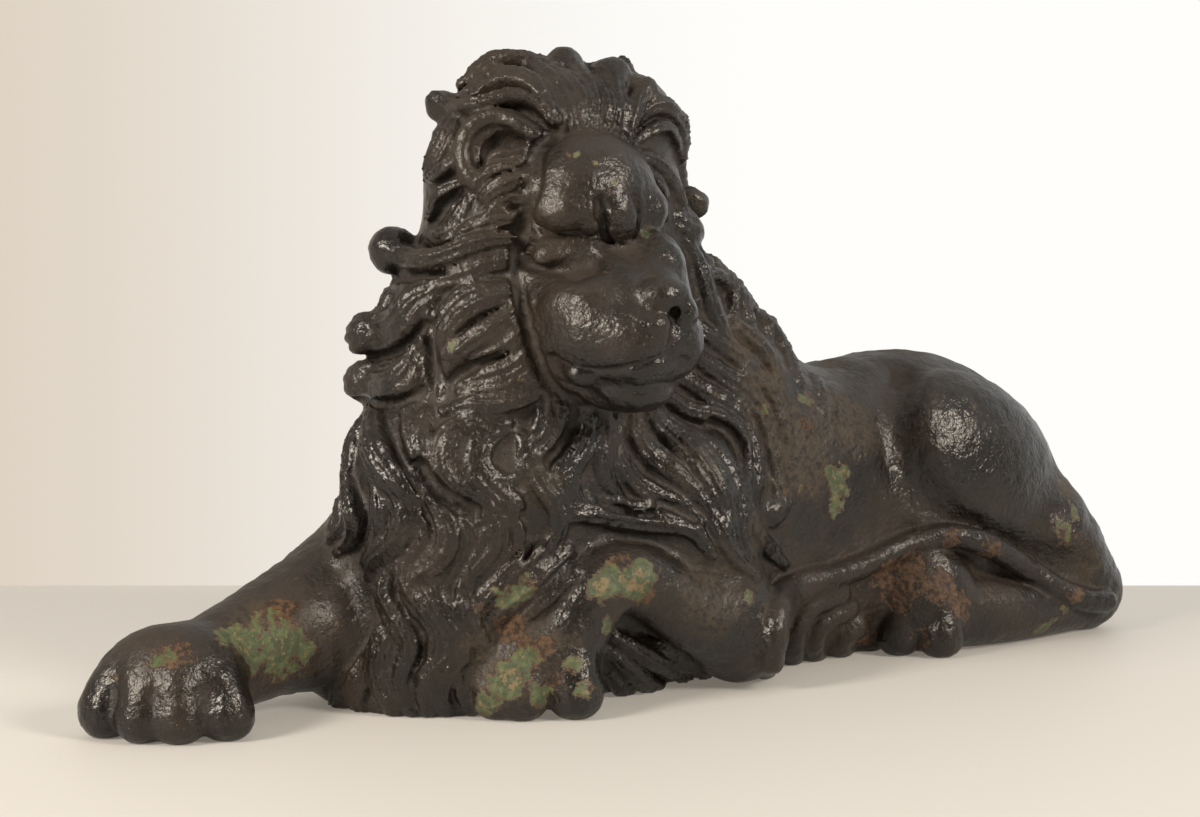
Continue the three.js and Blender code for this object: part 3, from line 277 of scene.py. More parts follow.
def clay_distance(forms, points):
    points = np.float32(points)
    distance = np.full(points.shape[:-1], FAR_AWAY, np.float32)
    for form in forms:
        own = form.distance(points)
        if form.carve:
            distance = -melt(-distance, own, form.blend)
        else:
            distance = melt(distance, own, form.blend)
    return distance


def clay_outward(forms, points):
    """The way out of the clay at each point."""
    steps = np.eye(3) / 2
    slopes = [clay_distance(forms, points + s) - clay_distance(forms, points - s) for s in steps]
    slopes = np.stack(slopes, -1)
    return slopes / np.maximum(np.linalg.norm(slopes, axis=-1, keepdims=True), 1e-6)


TOUCHING = 0.1
STEP_SHARE = 0.85
LEAST_STEP = 0.6


def throw_onto(forms, starts, directions, near, far):
    """Where each ray first meets the clay, or where it passes nearest."""
    reach = np.full(len(directions), float(near))
    best = reach.copy()
    nearest = np.full(len(directions), np.inf)
    while ((nearest > TOUCHING) & (reach < far)).any():
        distance = clay_distance(forms, starts + directions * reach[:, None])
        closer = distance < nearest
        nearest = np.where(closer, distance, nearest)
        best = np.where(closer, reach, best)
        step = np.maximum(distance * STEP_SHARE, LEAST_STEP)
        reach = np.where(nearest > TOUCHING, reach + step, far)
    return starts + directions * best[:, None]


EYE = np.array([-714, -879, 234])
EYE_TURN = math.radians(-38)
EYE_DROP = math.radians(5.155)
BOARD_DISTANCE = 1150
BOARD_MIDDLE_HEIGHT = 155.75
SIGHT_START = 860
SIGHT_END = 1500
eye_across = np.array([math.cos(EYE_TURN), math.sin(EYE_TURN), 0])
eye_forward = np.array(
    [
        -math.sin(EYE_TURN) * math.cos(EYE_DROP),
        math.cos(EYE_TURN) * math.cos(EYE_DROP),
        -math.sin(EYE_DROP),
    ]
)
eye_up = np.cross(eye_across, eye_forward)


def drawn_path(forms, path, smoothings):
    """The path's places on the board, [across, up] in millimetres, thrown onto the clay."""
    places = curve(path, 3)
    across = places[:, :1] / BOARD_DISTANCE
    up = (places[:, 1:] - BOARD_MIDDLE_HEIGHT) / BOARD_DISTANCE
    sight = eye_forward + eye_across * across + eye_up * up
    sight /= np.linalg.norm(sight, axis=1, keepdims=True)
    points = throw_onto(forms, EYE, sight, SIGHT_START, SIGHT_END)
    for _ in range(smoothings):
        points[1:-1] = points[1:-1] / 2 + (points[:-2] + points[2:]) / 4
    return points


class Lock:
    """A flattened lock that hugs the clay, with fine strands along its back."""

    def __init__(self, points, widths, heights, outward, strands, groove, blend):
        self.points = np.float32(points)
        self.widths = np.float32(widths)
        self.heights = np.float32(heights)
        self.outward = np.float32(outward)
        self.strands = strands
        self.groove = np.float32(groove)
        self.blend = np.float32(blend)
        self.carve = False
        self.reach = np.maximum(self.widths, self.heights)
        self.low = (self.points - self.reach[:, None]).min(0)
        self.high = (self.points + self.reach[:, None]).max(0)

    def distance(self, points):
        best = np.full(points.shape[:-1], np.inf, np.float32)
        place = np.zeros_like(best)
        for i in range(len(self.points) - 1):
            run = self.points[i + 1] - self.points[i]
            size = max(np.linalg.norm(run), 1e-6)
            out = self.outward[i] - run * (self.outward[i] @ run) / size**2
            out = out / max(np.linalg.norm(out), 1e-6)
            side = np.cross(run / size, out)
            t = np.clip(((points - self.points[i]) @ run) / size**2, 0, 1)
            gap = points - self.points[i] - t[..., None] * run
            width = self.widths[i] + t * (self.widths[i + 1] - self.widths[i])
            height = self.heights[i] + t * (self.heights[i + 1] - self.heights[i])
            rise = gap @ out
            lean = gap @ side
            rest = np.maximum((gap * gap).sum(-1) - rise * rise - lean * lean, 0)
            near = np.sqrt((rise / height) ** 2 + (lean / width) ** 2 + rest / width**2)
            own = (near - 1) * np.minimum(width, height)
            nearer = own < best
            best = np.where(nearer, own, best)
            place = np.where(nearer, lean / width, place)
        phase = np.clip(place, -1, 1) * self.strands + (self.strands % 2 == 0)
        return best + self.groove * (np.float32(0.5) - np.cos(phase * np.float32(np.pi)) / 2)


# A lock's fullness at shares of its length
LOCK_TAPER = ((0, 0.35, 0.75, 1), (0.65, 1, 0.82, 0.45))
CURLED_TAPER = ((0, 0.35, 1), (0.65, 1, 1))
ARCH_LENGTH = 1.1
WIDE_LOCK, MIDDLING_LOCK = 8, 5
STRAND_GROOVE = 1.4
LOCK_SEAM = 3
TIP_SEAM = 5


def lay_lock(forms, points, width, height, lift, tip):
    """A lock laid along points on the clay, arched off it by lift, with a curled tip if tip > 0."""
    outward = clay_outward(forms, points)
    share = np.linspace(0, 1, len(points))
    taper = np.interp(share, *(CURLED_TAPER if tip else LOCK_TAPER))
    arch = np.sin(np.pi * np.minimum(share * ARCH_LENGTH, 1))
    raised = points + outward * (lift * arch)[:, None]
    strands = 4 if width >= WIDE_LOCK else 3 if width >= MIDDLING_LOCK else 2
    heights = height * np.sqrt(taper)
    laid = [Lock(raised, width * taper, heights, outward, strands, STRAND_GROOVE, LOCK_SEAM)]
    if tip:
        laid.append(Ball(raised[-1], (tip, tip, tip), blend=TIP_SEAM))
    return laid


# Drawn locks: half width, height, lift off the clay, radius of a curled tip, and the path
CROWN_LOCKS = [
    [8, 6, 2, 0, [(-12, 296), (-16, 308), (-24, 319), (-36, 327),
                  (-50, 329), (-60, 325), (-69, 317)]],
    [6, 6, 2.5, 0, [(-21, 300), (-27, 311), (-37, 318), (-49, 320),
                    (-58, 317), (-64, 312), (-71, 309)]],
    [4.5, 7, 4, 0, [(-23, 293), (-26, 303), (-33, 311), (-43, 315),
                    (-53, 314), (-61, 309), (-70, 309)]],
    [4, 8, 5, 7, [(-25, 290), (-28, 299), (-35, 305), (-46, 306),
                  (-58, 303), (-68, 303), (-80, 307)]],
    [5, 6, 2, 0, [(-8, 294), (-9, 305), (-14, 315), (-22, 322), (-31, 328)]],
    [6, 6, 2, 9, [(-4, 293), (-3, 305), (-8, 316), (-14, 324), (-18, 327)]],
    [3.5, 7, 3, 0, [(1, 293), (2, 304), (0, 315), (-4, 325)]],
    [6, 6, 2, 9, [(6, 292), (7, 304), (7, 314), (6, 322)]],
    [5, 6, 2, 7, [(12, 290), (14, 300), (17, 309), (22, 314)]],
    [6, 6, 2, 0, [(18, 300), (25, 307), (33, 304), (39, 294), (41, 281)]],
    [4, 5, 2, 0, [(17, 289), (24, 295), (31, 297), (36, 290), (39, 279)]],
    [5, 5, 1, 0, [(15, 283), (24, 281), (32, 273), (38, 262), (44, 246), (51, 230)]],
    [4, 5, 1, 0, [(20, 277), (27, 269), (31, 259), (32, 250)]],
    [7, 6, 0, 6, [(43, 262), (47, 258)]],
    [8, 6, 0, 7, [(39, 251), (44, 245)]],
]
TEMPLE_LOCKS = [
    [9, 5, 0, 0, [(-72, 302), (-76, 294), (-80, 285), (-84, 277), (-86, 272)]],
    [4.5, 6, 2, 0, [(-70, 284), (-73, 277), (-79, 272), (-84, 270)]],
    [4, 6, 3, 0, [(-66, 269), (-72, 267), (-78, 261), (-81, 253), (-85, 250)]],
    [3.5, 6, 2, 0, [(-35, 281), (-44, 277), (-53, 275), (-57, 270), (-58, 264)]],
    [5, 7, 4, 0, [(-34, 273), (-43, 270), (-51, 266), (-56, 261), (-59, 255)]],
    [8, 6, 1, 0, [(-63, 262), (-67, 253), (-73, 245), (-84, 240)]],
    [5, 6, 2, 0, [(-36, 262), (-46, 261), (-54, 254), (-60, 247), (-69, 240)]],
    [5, 6, 2, 0, [(-38, 252), (-48, 250), (-56, 247), (-66, 243), (-75, 238)]],
    [6, 9, 4, 11, [(-38, 240), (-52, 239), (-63, 235), (-74, 229),
                   (-87, 227), (-97, 232), (-104, 235)]],
    [8, 6, 1, 0, [(-42, 231), (-56, 229), (-68, 223), (-84, 219), (-100, 221)]],
]
CHEEK_LOCKS = [
    [5, 5, 1.5, 0, [(-44, 217), (-55, 217), (-66, 213), (-75, 206), (-80, 196), (-81, 186)]],
    [7, 6.5, 3, 0, [(-42, 212), (-52, 211), (-63, 206), (-72, 198), (-77, 187), (-75, 174)]],
    [6.5, 6.5, 3, 0, [(-40, 207), (-48, 200), (-58, 193), (-67, 187), (-73, 180), (-74, 172)]],
    [5.5, 5.5, 2.5, 0, [(-37, 204), (-41, 194), (-49, 187), (-59, 183), (-69, 178)]],
    [6, 5.5, 2.5, 0, [(-34, 198), (-37, 186), (-45, 178), (-57, 173), (-69, 169)]],
    [6, 5.5, 3, 0, [(-32, 186), (-35, 176), (-45, 168), (-57, 165), (-70, 163)]],
    [6, 5.5, 3, 0, [(-29, 175), (-33, 166), (-43, 160), (-54, 157), (-66, 157), (-78, 154)]],
    [11, 7.5, 2.5, 9, [(-84, 214), (-91, 208), (-95, 200), (-103, 194), (-116, 193)]],
    [9.5, 5, 0, 0, [(-95, 218), (-103, 213), (-107, 206), (-111, 200)]],
    [6, 5, 1, 0, [(-84, 204), (-86, 194), (-92, 187), (-104, 184), (-114, 184)]],
    [9.5, 7.5, 2.5, 10, [(-92, 182), (-94, 174), (-100, 168), (-109, 167), (-117, 169)]],
    [8.5, 5.5, 1.5, 0, [(-100, 181), (-108, 178), (-115, 175), (-121, 171)]],
    [6, 5, 1, 0, [(-88, 174), (-92, 165), (-101, 160), (-113, 160)]],
    [5, 4, 0, 0, [(-86, 193), (-84, 179), (-82, 168), (-85, 160)]],
]
LEFT_CHEST_LOCKS = [
    [9, 7, 2.5, 0, [(-112, 156), (-112, 143), (-109, 131), (-102, 121), (-96, 113), (-91, 101)]],
    [7, 5, 1, 0, [(-96, 156), (-96, 143), (-92, 131), (-86, 121), (-82, 111)]],
    [6, 5, 1, 0, [(-87, 152), (-89, 143), (-87, 132), (-82, 122)]],
    [7, 5, 0, 0, [(-118, 149), (-123, 139), (-125, 127), (-125, 116)]],
    [6.5, 7, 2.5, 0, [(-125, 122), (-122, 111), (-119, 101), (-121, 91), (-130, 84)]],
    [7, 5, 0, 6, [(-129, 108), (-129, 98), (-131, 95)]],
    [6.5, 6, 1.5, 0, [(-112, 120), (-108, 109), (-108, 98), (-111, 88), (-117, 79)]],
    [7, 6, 2.5, 0, [(-103, 115), (-98, 105), (-97, 95), (-104, 86), (-112, 80), (-115, 73)]],
    [7, 6, 2.5, 0, [(-84, 111), (-77, 101), (-75, 90), (-81, 80), (-91, 73), (-95, 66)]],
    [6, 5, 1, 0, [(-91, 101), (-87, 93), (-89, 86), (-97, 80)]],
]
CHEST_LOCKS = [
    [8, 5.5, 1.5, 0, [(-50, 152), (-64, 148), (-75, 141), (-79, 131),
                      (-76, 121), (-68, 113), (-59, 106)]],
    [8, 5.5, 1, 0, [(-64, 110), (-56, 103), (-53, 94), (-54, 85), (-60, 78), (-66, 70), (-63, 60)]],
    [7, 4.5, 1, 0, [(-56, 148), (-64, 140), (-66, 129), (-60, 118),
                    (-50, 109), (-41, 99), (-38, 89)]],
    [7, 4.5, 1, 0, [(-41, 98), (-39, 88), (-44, 80), (-54, 72), (-59, 64)]],
    [6, 4.5, 1, 0, [(-47, 146), (-57, 139), (-60, 129), (-54, 121), (-44, 120)]],
    [7, 4.5, 1, 0, [(-38, 140), (-36, 130), (-30, 119), (-23, 109),
                    (-21, 99), (-24, 88), (-31, 80), (-39, 74)]],
    [6, 4, 0.5, 0, [(-50, 116), (-44, 108), (-40, 99), (-41, 90)]],
    [7, 4, 0.5, 0, [(-72, 102), (-67, 94), (-67, 85), (-72, 76), (-76, 67), (-75, 57)]],
    [11, 5.5, 1, 0, [(-27, 165), (-24, 153), (-26, 143), (-33, 134), (-37, 126)]],
    [7, 4.5, 1, 0, [(-8, 158), (-6, 146), (-10, 134), (-16, 125), (-15, 114), (-8, 106)]],
    [6, 4.5, 1, 0, [(-15, 140), (-20, 130), (-21, 121), (-15, 110)]],
    [7, 4.5, 1, 0, [(1, 158), (2, 144), (0, 132), (2, 121), (10, 112)]],
    [7, 4.5, 1, 0, [(9, 153), (7, 140), (9, 129), (16, 119), (27, 113), (39, 109)]],
    [8, 5.5, 1.5, 0, [(17, 159), (16, 147), (21, 136), (31, 128), (42, 121), (51, 110)]],
    [9.5, 5.5, 1.5, 0, [(25, 159), (30, 147), (41, 138), (51, 127),
                        (58, 116), (63, 104), (65, 93)]],
    [7, 4.5, 1, 0, [(34, 148), (48, 141), (59, 131), (66, 119), (70, 106), (71, 94), (75, 83)]],
    [6, 6, 2, 0, [(33, 162), (43, 154), (55, 151), (66, 145), (71, 134), (73, 121)]],
    [7, 4.5, 0.5, 0, [(42, 171), (56, 162), (68, 154), (75, 142), (78, 129), (80, 118)]],
    [7, 4.5, 0.5, 0, [(48, 182), (62, 172), (75, 162), (83, 148), (87, 133), (89, 119)]],
    [7, 4, 0.5, 0, [(52, 194), (66, 184), (79, 173), (89, 158), (94, 141)]],
    [7, 4, 0.5, 6, [(88, 119), (91, 109), (86, 104)]],
    [7, 4, 0.5, 0, [(72, 118), (74, 106), (77, 95), (84, 86), (92, 78)]],
    [6, 4, 0.5, 0, [(54, 107), (59, 98), (63, 88), (70, 79), (78, 72)]],
    [7, 6, 1, 0, [(-18, 103), (-6, 103.5), (7, 101.5), (20, 100),
                  (32, 98.5), (43, 97), (50, 91), (56, 82)]],
    [5.5, 4, 0.5, 0, [(-4, 108), (7, 106), (18, 105), (30, 104), (42, 103), (50, 99)]],
]
NECK_LOCKS = [
    [7, 5, 1, 0, [(43, 239), (48, 228), (52, 215), (58, 200), (66, 187)]],
    [5, 6, 3, 0, [(50, 224), (59, 219), (64, 210), (64, 201)]],
    [8.5, 5, 0, 0, [(56, 229), (66, 218), (75, 206), (84, 192)]],
    [7, 5, 1, 0, [(68, 197), (78, 188), (86, 176), (90, 163)]],
    [8.5, 4, 0, 0, [(82, 201), (92, 187), (99, 170)]],
]
FLOOR_LOCKS = [
    [8, 6, 3, 0, [(-95, 49), (-103, 45), (-108, 37), (-109, 24), (-106, 12), (-103, 3)]],
    [7, 5, 2, 0, [(-92, 42), (-95, 34), (-100, 26), (-99, 14), (-94, 4)]],
    [9, 6, 3, 0, [(-80, 61), (-76, 50), (-72, 39), (-75, 31), (-83, 24), (-88, 17), (-86, 8)]],
    [6, 5, 2, 0, [(-70, 33), (-77, 24), (-80, 14), (-77, 4)]],
    [6, 5, 1, 0, [(-61, 37), (-65, 26), (-68, 15), (-64, 3)]],
    [7, 4, 0, 0, [(-96, 61), (-90, 50), (-82, 39)]],
    [7, 5, 2, 0, [(-113, 34), (-119, 22), (-121, 11), (-119, 4)]],
    [7, 5, 1, 0, [(-125, 22), (-129, 12), (-132, 4)]],
]
WRIST_LOCKS = [
    [7, 6, 3, 0, [(-92.5, 87.5), (-97.5, 72.5), (-90, 60), (-80, 47.5),
                  (-81, 32.5), (-87.5, 17.5), (-86, 4)]],
    [6.5, 6, 3, 0, [(-79, 82), (-84, 65), (-75, 52.5), (-69, 40), (-71, 25), (-68, 10)]],
    [7, 6, 2, 0, [(-102.5, 80), (-107.5, 67.5), (-102.5, 55),
                  (-94, 42.5), (-96, 27.5), (-102.5, 15)]],
    [6, 6, 3, 0, [(-65, 72.5), (-69, 60), (-63, 47.5), (-58, 35), (-60, 22)]],
    [7, 6, 3, 0, [(-17, 84), (-27.5, 75), (-39, 66), (-50, 56.5), (-56, 45)]],
    [6, 5, 2, 0, [(-12.5, 74), (-22, 65), (-32.5, 57), (-41, 50), (-46, 41)]],
    [6.5, 6, 3, 0, [(-27.5, 87.5), (-39, 80), (-50, 70), (-59, 60), (-63, 49)]],
    [6, 6, 4, 0, [(7, 42), (20, 34), (34, 28), (47, 18)]],
    [6, 6, 5, 0, [(6, 34), (17, 24), (31, 17), (42, 12)]],
    [6, 6, 5, 0, [(5, 24), (12, 15), (25, 9)]],
    [5, 5, 3, 0, [(20, 40), (34, 36), (47, 29), (56, 20)]],
]
drawn_locks = []
for width, height, lift, tip, path in (
    CROWN_LOCKS
    + TEMPLE_LOCKS
    + CHEEK_LOCKS
    + LEFT_CHEST_LOCKS
    + CHEST_LOCKS
    + NECK_LOCKS
    + FLOOR_LOCKS
    + WRIST_LOCKS
):
    drawn_locks += lay_lock(body, drawn_path(body, path, 2), width, height, lift, tip)

# Plainer locks in rows cover the side away from the eye. A lock's run is measured down the mane,
# over the crown first and then straight down, and its bearing round the head in degrees.
CROWN_RUN = 75
CROWN_GIRTH = 66
BACK_ROWS = 8
FIRST_ROW, ROW_PITCH, ROW_MIDDLE = 14, 27, 20
FIRST_BEARING, LAST_BEARING = -28, 134
BACK_LOCK_PITCH = 19
BACK_LOCK_LENGTH = 52
BACK_LOCK_SWING = 5
SWAYS = np.array([0, 1, -0.6, -1.2, 0.4])
CLEAR_OF_MANE = 180
BURIED = -6
back_locks = []
for row in range(BACK_ROWS):
    start = FIRST_ROW + row * ROW_PITCH
    girth = CROWN_GIRTH * math.sin(math.radians(90 * min((start + ROW_MIDDLE) / CROWN_RUN, 1)))
    pitch = math.degrees(BACK_LOCK_PITCH / girth)
    for i in range(int((LAST_BEARING - FIRST_BEARING) // pitch) + 1):
        bearing = FIRST_BEARING + (i + 0.5 * (row % 2)) * pitch
        swing = (1 if (i + row) % 2 == 0 else -1) * math.degrees(BACK_LOCK_SWING / girth)
        runs = start + np.arange(len(SWAYS)) * BACK_LOCK_LENGTH / (len(SWAYS) - 1)
        places = curve(np.stack([bearing + SWAYS * swing, runs], 1), 2)
        rise = np.radians(90 * (1 - np.minimum(places[:, 1] / CROWN_RUN, 1)))
        turn = np.radians(places[:, 0])
        drop = np.maximum(places[:, 1] - CROWN_RUN, 0)
        out = np.stack([np.cos(turn) * np.cos(rise), np.sin(turn) * np.cos(rise), np.sin(rise)], 1)
        starts = HEAD_CENTRE - drop[:, None] * (0, 0, 1) + out * CLEAR_OF_MANE
        points = throw_onto(mane_masses, starts, -out, 0, CLEAR_OF_MANE)
        buried = (clay_distance(body, points) < BURIED).all()
        if not buried and points[:, 2].min() > 0:
            back_locks += lay_lock(mane_masses, points, width=9, height=6, lift=1, tip=0)


# The near ear, the tail and the crease in front of the thigh, cast with the rest. The ear's rim is
# a raised ring round a deep hollow. The tail lies along the flank and ends in a tuft beside the
# hind paw.
def drawn_cord(path, radius, lift, blend, carve=False):
    """A round cord along a path drawn on the board, or a groove if carve is True."""
    points = drawn_path(body, path, 3)
    centres = points + clay_outward(body, points) * lift
    return Limb(np.column_stack([centres, np.full(len(points), radius)]), blend, carve, steps=1)


EAR_RIM = [
    (-29, 288), (-37, 295), (-47, 300), (-58, 299),
    (-65, 293), (-68, 283), (-66, 274), (-61, 269),
]
EAR_FOLD = [(-37, 285), (-45, 282), (-52, 283), (-55, 278), (-56, 272)]
EAR_HOLLOW = [(-55, 280), (-54, 287), (-48, 290), (-41, 287)]
THIGH_CREASE = [
    (152, 174), (149, 155), (151, 135), (159, 117),
    (172, 102), (192, 90), (215, 81), (242, 77),
]
TAIL = [
    (252, 60), (240, 60), (226, 66), (209, 79), (192, 89), (174, 93.5), (154, 89),
    (136, 80), (120, 73), (104, 70), (93, 66), (88, 57), (86, 44), (85, 30),
]
TUFT = [
    [(113, 68), (97, 63), (89, 50), (86, 35), (80, 21)],
    [(120, 63), (103, 57), (97, 43), (96, 30), (89, 20)],
    [(124, 56), (111, 50), (106, 39), (108, 27)],
    [(128, 47), (119, 40), (122, 30)],
]
# Deep partings between the locks: radius and path
PARTINGS = [
    (2.2, [(-46, 184), (-54, 181), (-63, 177), (-72, 171)]),
    (3, [(-82, 197), (-83, 185), (-81, 172), (-84, 160)]),
    (2.5, [(-66, 230), (-75, 223), (-86, 220), (-98, 220), (-104, 218)]),
    (2.5, [(-86, 197), (-92, 188), (-104, 181), (-116, 180)]),
    (2.5, [(-88, 164), (-98, 157), (-112, 156), (-120, 159)]),
    (4, [(-89, 127), (-83, 116), (-73, 110), (-64, 105)]),
    (2.5, [(-39, 103), (-35, 96), (-37, 85), (-45, 78)]),
    (2.5, [(-15, 157), (-15, 146), (-20, 137), (-27, 129)]),
    (2.5, [(53, 148), (64, 143), (69, 133), (70, 121)]),
    (2.5, [(0, 109), (9, 104.5), (19, 102.5), (27, 103)]),
    (2.5, [(30, 108), (39, 105), (46, 101)]),
    (2.5, [(-101, 150), (-101, 138), (-95, 125), (-89, 116)]),
    (3.5, [(-54, 302), (-44, 304), (-36, 301), (-30, 295)]),
]
partings = [drawn_cord(path, radius, 2.5, 2, carve=True) for radius, path in PARTINGS]
hollows = [
    drawn_cord(EAR_HOLLOW, 5, -2, 2, carve=True),
    drawn_cord(THIGH_CREASE, 11, 6.5, 8, carve=True),
]
cords = [
    drawn_cord(EAR_RIM, 4.6, 2.5, 2),
    drawn_cord(EAR_FOLD, 3, 1, 2),
    drawn_cord(TAIL, 6.5, 1, 2),
]
cords += [drawn_cord(strand, 6.5, -0.5, 2.5) for strand in TUFT]


# The face, cast with the head: a big brow dome over small deep-set eyes, a broad nose, a heavy
# muzzle and a shut mouth. It is measured across to the lion's left, up, and out of the face.
FACE_CENTRE = np.array([-63, -41, 215])
FACE_TURN = math.radians(-6)
FACE_TILT = math.radians(5)
face_across = np.array([math.cos(FACE_TURN), math.sin(FACE_TURN), 0])
face_out = np.array(
    [
        math.sin(FACE_TURN) * math.cos(FACE_TILT),
        -math.cos(FACE_TURN) * math.cos(FACE_TILT),
        -math.sin(FACE_TILT),
    ]
)
face_up = np.cross(face_out, face_across)
FACE_AXES = [face_across, face_up, face_out]


def on_face(across, up, out, *radius):
    """A place on the face, with a radius behind it if one is given."""
    return (*(FACE_CENTRE + face_across * across + face_up * up + face_out * out), *radius)


def face_ball(across, up, out, radii, blend=8, carve=False):
    return Ball(on_face(across, up, out), radii, FACE_AXES, blend, carve)


face_masses = [
    face_ball(2, -12, -10, (32, 52, 28), 5),
    face_ball(-2, 20, -3, (33, 30, 28), 4),
    Limb([on_face(0, -32, 0, 36), on_face(0, -35, 22, 32), on_face(0, -37, 42, 25)], blend=8),
    face_ball(-22, -39, 19, (17, 27, 26), 12),
    face_ball(23, -40, 17, (17, 25, 25), 12),
    face_ball(18, -13, 26, (13, 20, 16), 10),
    face_ball(-18, -36, 34, (16, 17, 18), 14),
    face_ball(-8, -40, 48, (15, 17, 18), 10),
    face_ball(13, -40, 50, (13, 16, 16), 5),
    face_ball(-1, -61.5, 33, (21, 12, 26), 3),
]
# the edges of the bridge of the nose
for side in (-1, 1):
    bridge = [
        on_face(side * 11, 0, 11, 7),
        on_face(side * 11, -12, 28, 8),
        on_face(side * 9, -18, 46, 8),
    ]
    face_masses.append(Limb(bridge, blend=6))
face_base = body + face_masses


def face_line(path, radius, blend, carve=True, depth=0):
    """A groove, or a ridge if carve is False, drawn on the board and thrown onto the face."""
    points = drawn_path(face_base, path, 1)
    centres = points - clay_outward(face_base, points) * depth
    return Limb(np.column_stack([centres, np.full(len(points), radius)]), blend, carve, steps=1)


def face_swell(across, up, radii, depth, blend):
    """A swelling on the face, drawn on the board; radii run across, up and out."""
    point = drawn_path(face_base, [(across, up), (across + 1, up)], 0)[0]
    outward = clay_outward(face_base, point[None])[0]
    return Ball(point - outward * depth, radii, FACE_AXES, blend)


face = face_masses + [
    # the near eye's socket, under the brow
    face_ball(-25, -6, 25.5, (11.5, 8, 10), 6, carve=True),
    # the lobes of the brow
    face_ball(-18, 15, 6, (17, 10, 16), 8),
    face_ball(-0.5, 12, 14.5, (9.5, 12, 12), 8),
    face_ball(21, 16, 12, (9, 10, 10), 6),
    # the eyes under their lids
    face_ball(-24, -5, 7.5, (12, 7, 8), 7),
    face_ball(22, -5, 7, (11, 7, 8), 7),
    # the nose and its wings
    face_ball(2, -17, 58, (12, 8, 10), 5),
    face_ball(-6, -29, 63, (7, 4, 6), 3),
    face_ball(10, -25, 60, (7, 8, 8), 3),
]
face += [
    # the notch between the lobes, the bump in it and the creases under the lobes
    face_line([(0, 259), (0.5, 253), (2, 248)], 2.8, 2.5),
    face_line([(-34, 250), (-27.5, 245.5), (-20, 243.5), (-12.5, 243), (-4, 243), (2, 242)], 2, 2),
    face_line(
        [(2, 243), (5, 239.5), (9, 238.5), (13.5, 240.5), (17, 246.5), (19, 254), (17, 262)], 2, 2
    ),
    face_swell(-5, 246.5, (4, 4, 4), 1, 2),
    # the eye, the cheek and the nose
    face_line([(-38, 229), (-30, 226), (-21, 225.5), (-13, 226.5), (-8, 229)], 2, 4),
    face_line(
        [(-24, 209.5), (-17, 211.5), (-10, 213.5), (-3, 216.5)], 4.5, 8, carve=False, depth=3.2
    ),
    face_line([(33, 209.5), (35.5, 207), (36.5, 203)], 2.6, 2),
    face_line([(36.5, 203), (37, 195), (36, 187.5), (35, 182)], 1.7, 3),
    # the mouth and the fold at its corner
    face_line(
        [(-23.5, 180), (-13.5, 176), (0.5, 174.5), (13.5, 176), (27.5, 180), (34.5, 182)], 1.8, 1.5
    ),
    face_line([(34.5, 182), (39, 180), (43.5, 179.5)], 1.8, 1.5),
    face_line([(-23.5, 179), (-21, 172.5), (-17.5, 167), (-7.5, 163.5), (0.5, 158)], 3, 4),
    face_swell(-9, 170.5, (7, 5.5, 5), 2, 4),
    # where the face meets the hair
    face_line([(-22, 291), (-29.5, 284), (-31, 270), (-35, 253), (-40.5, 240)], 4, 2, depth=-2.4),
    face_line([(-40.5, 240), (-42.5, 229), (-41, 216.5), (-37, 204), (-33, 190)], 3.2, 2, depth=-1.6),
    face_line([(-33, 190), (-28.5, 176), (-21, 165), (-12.5, 161)], 3.2, 2, depth=-1.4),
]


# The casting: the finished clay becomes one closed iron skin. It is sampled on a fine grid, netted
# with four-sided faces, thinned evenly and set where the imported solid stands.
GRID_STEP = 1.4
GRID_LOW = np.array([-310, -130, -6])
GRID_HIGH = np.array([315, 125, 330])
# The grid is filled block by block, and only in blocks that the skin passes
BLOCK = 8
HALF_DIAGONAL = 0.87
BLOCK_MARGIN = 10
FORM_MARGIN = 2
LOCK_MARGIN = 4
DEEP = np.float32(50)
TRIANGLES = 190000

clay = body + paws + hollows + back_locks + drawn_locks + partings + cords + face
blocks = np.ceil((GRID_HIGH - GRID_LOW) / (GRID_STEP * BLOCK)).astype(int)
size = GRID_STEP * BLOCK
middles = [low + (np.arange(count) + 0.5) * size for low, count in zip(GRID_LOW, blocks)]
coarse = clay_distance(clay, np.stack(np.meshgrid(*middles, indexing="ij"), -1))
active = np.argwhere(np.abs(coarse) < size * HALF_DIAGONAL + BLOCK_MARGIN)
corners = np.float32(GRID_LOW + active * size)
cell = np.stack(np.meshgrid(*[np.arange(BLOCK)] * 3, indexing="ij"), -1).reshape(-1, 3)
cell = np.float32(cell * GRID_STEP)
values = np.full((len(active), BLOCK**3), FAR_AWAY, np.float32)
for form in clay:
    pad = form.blend + FORM_MARGIN
    near = (corners + size > form.low - pad) & (corners < form.high + pad)
    near = np.flatnonzero(near.all(1))
    if isinstance(form, Lock) and len(near):
        gaps = corners[near, None] + size / 2 - form.points
        gaps = np.linalg.norm(gaps, axis=-1) - form.reach
        near = near[gaps.min(1) < size * HALF_DIAGONAL + pad + LOCK_MARGIN]
    if len(near):
        own = form.distance(corners[near, None] + cell)
        if form.carve:
            values[near] = -melt(-values[near], own, form.blend)
        else:
            values[near] = melt(values[near], own, form.blend)
grid = np.where(coarse > 0, DEEP, -DEEP)
for axis in range(3):
    grid = np.repeat(grid, BLOCK, axis)
in_blocks = grid.reshape(blocks[0], BLOCK, blocks[1], BLOCK, blocks[2], BLOCK)
in_blocks[active[:, 0], :, active[:, 1], :, active[:, 2]] = values.reshape(-1, *[BLOCK] * 3)
# Nothing reaches below the floor, so the underside is flat
heights = GRID_LOW[2] + np.arange(grid.shape[2]) * GRID_STEP
grid = np.maximum(grid, -heights)

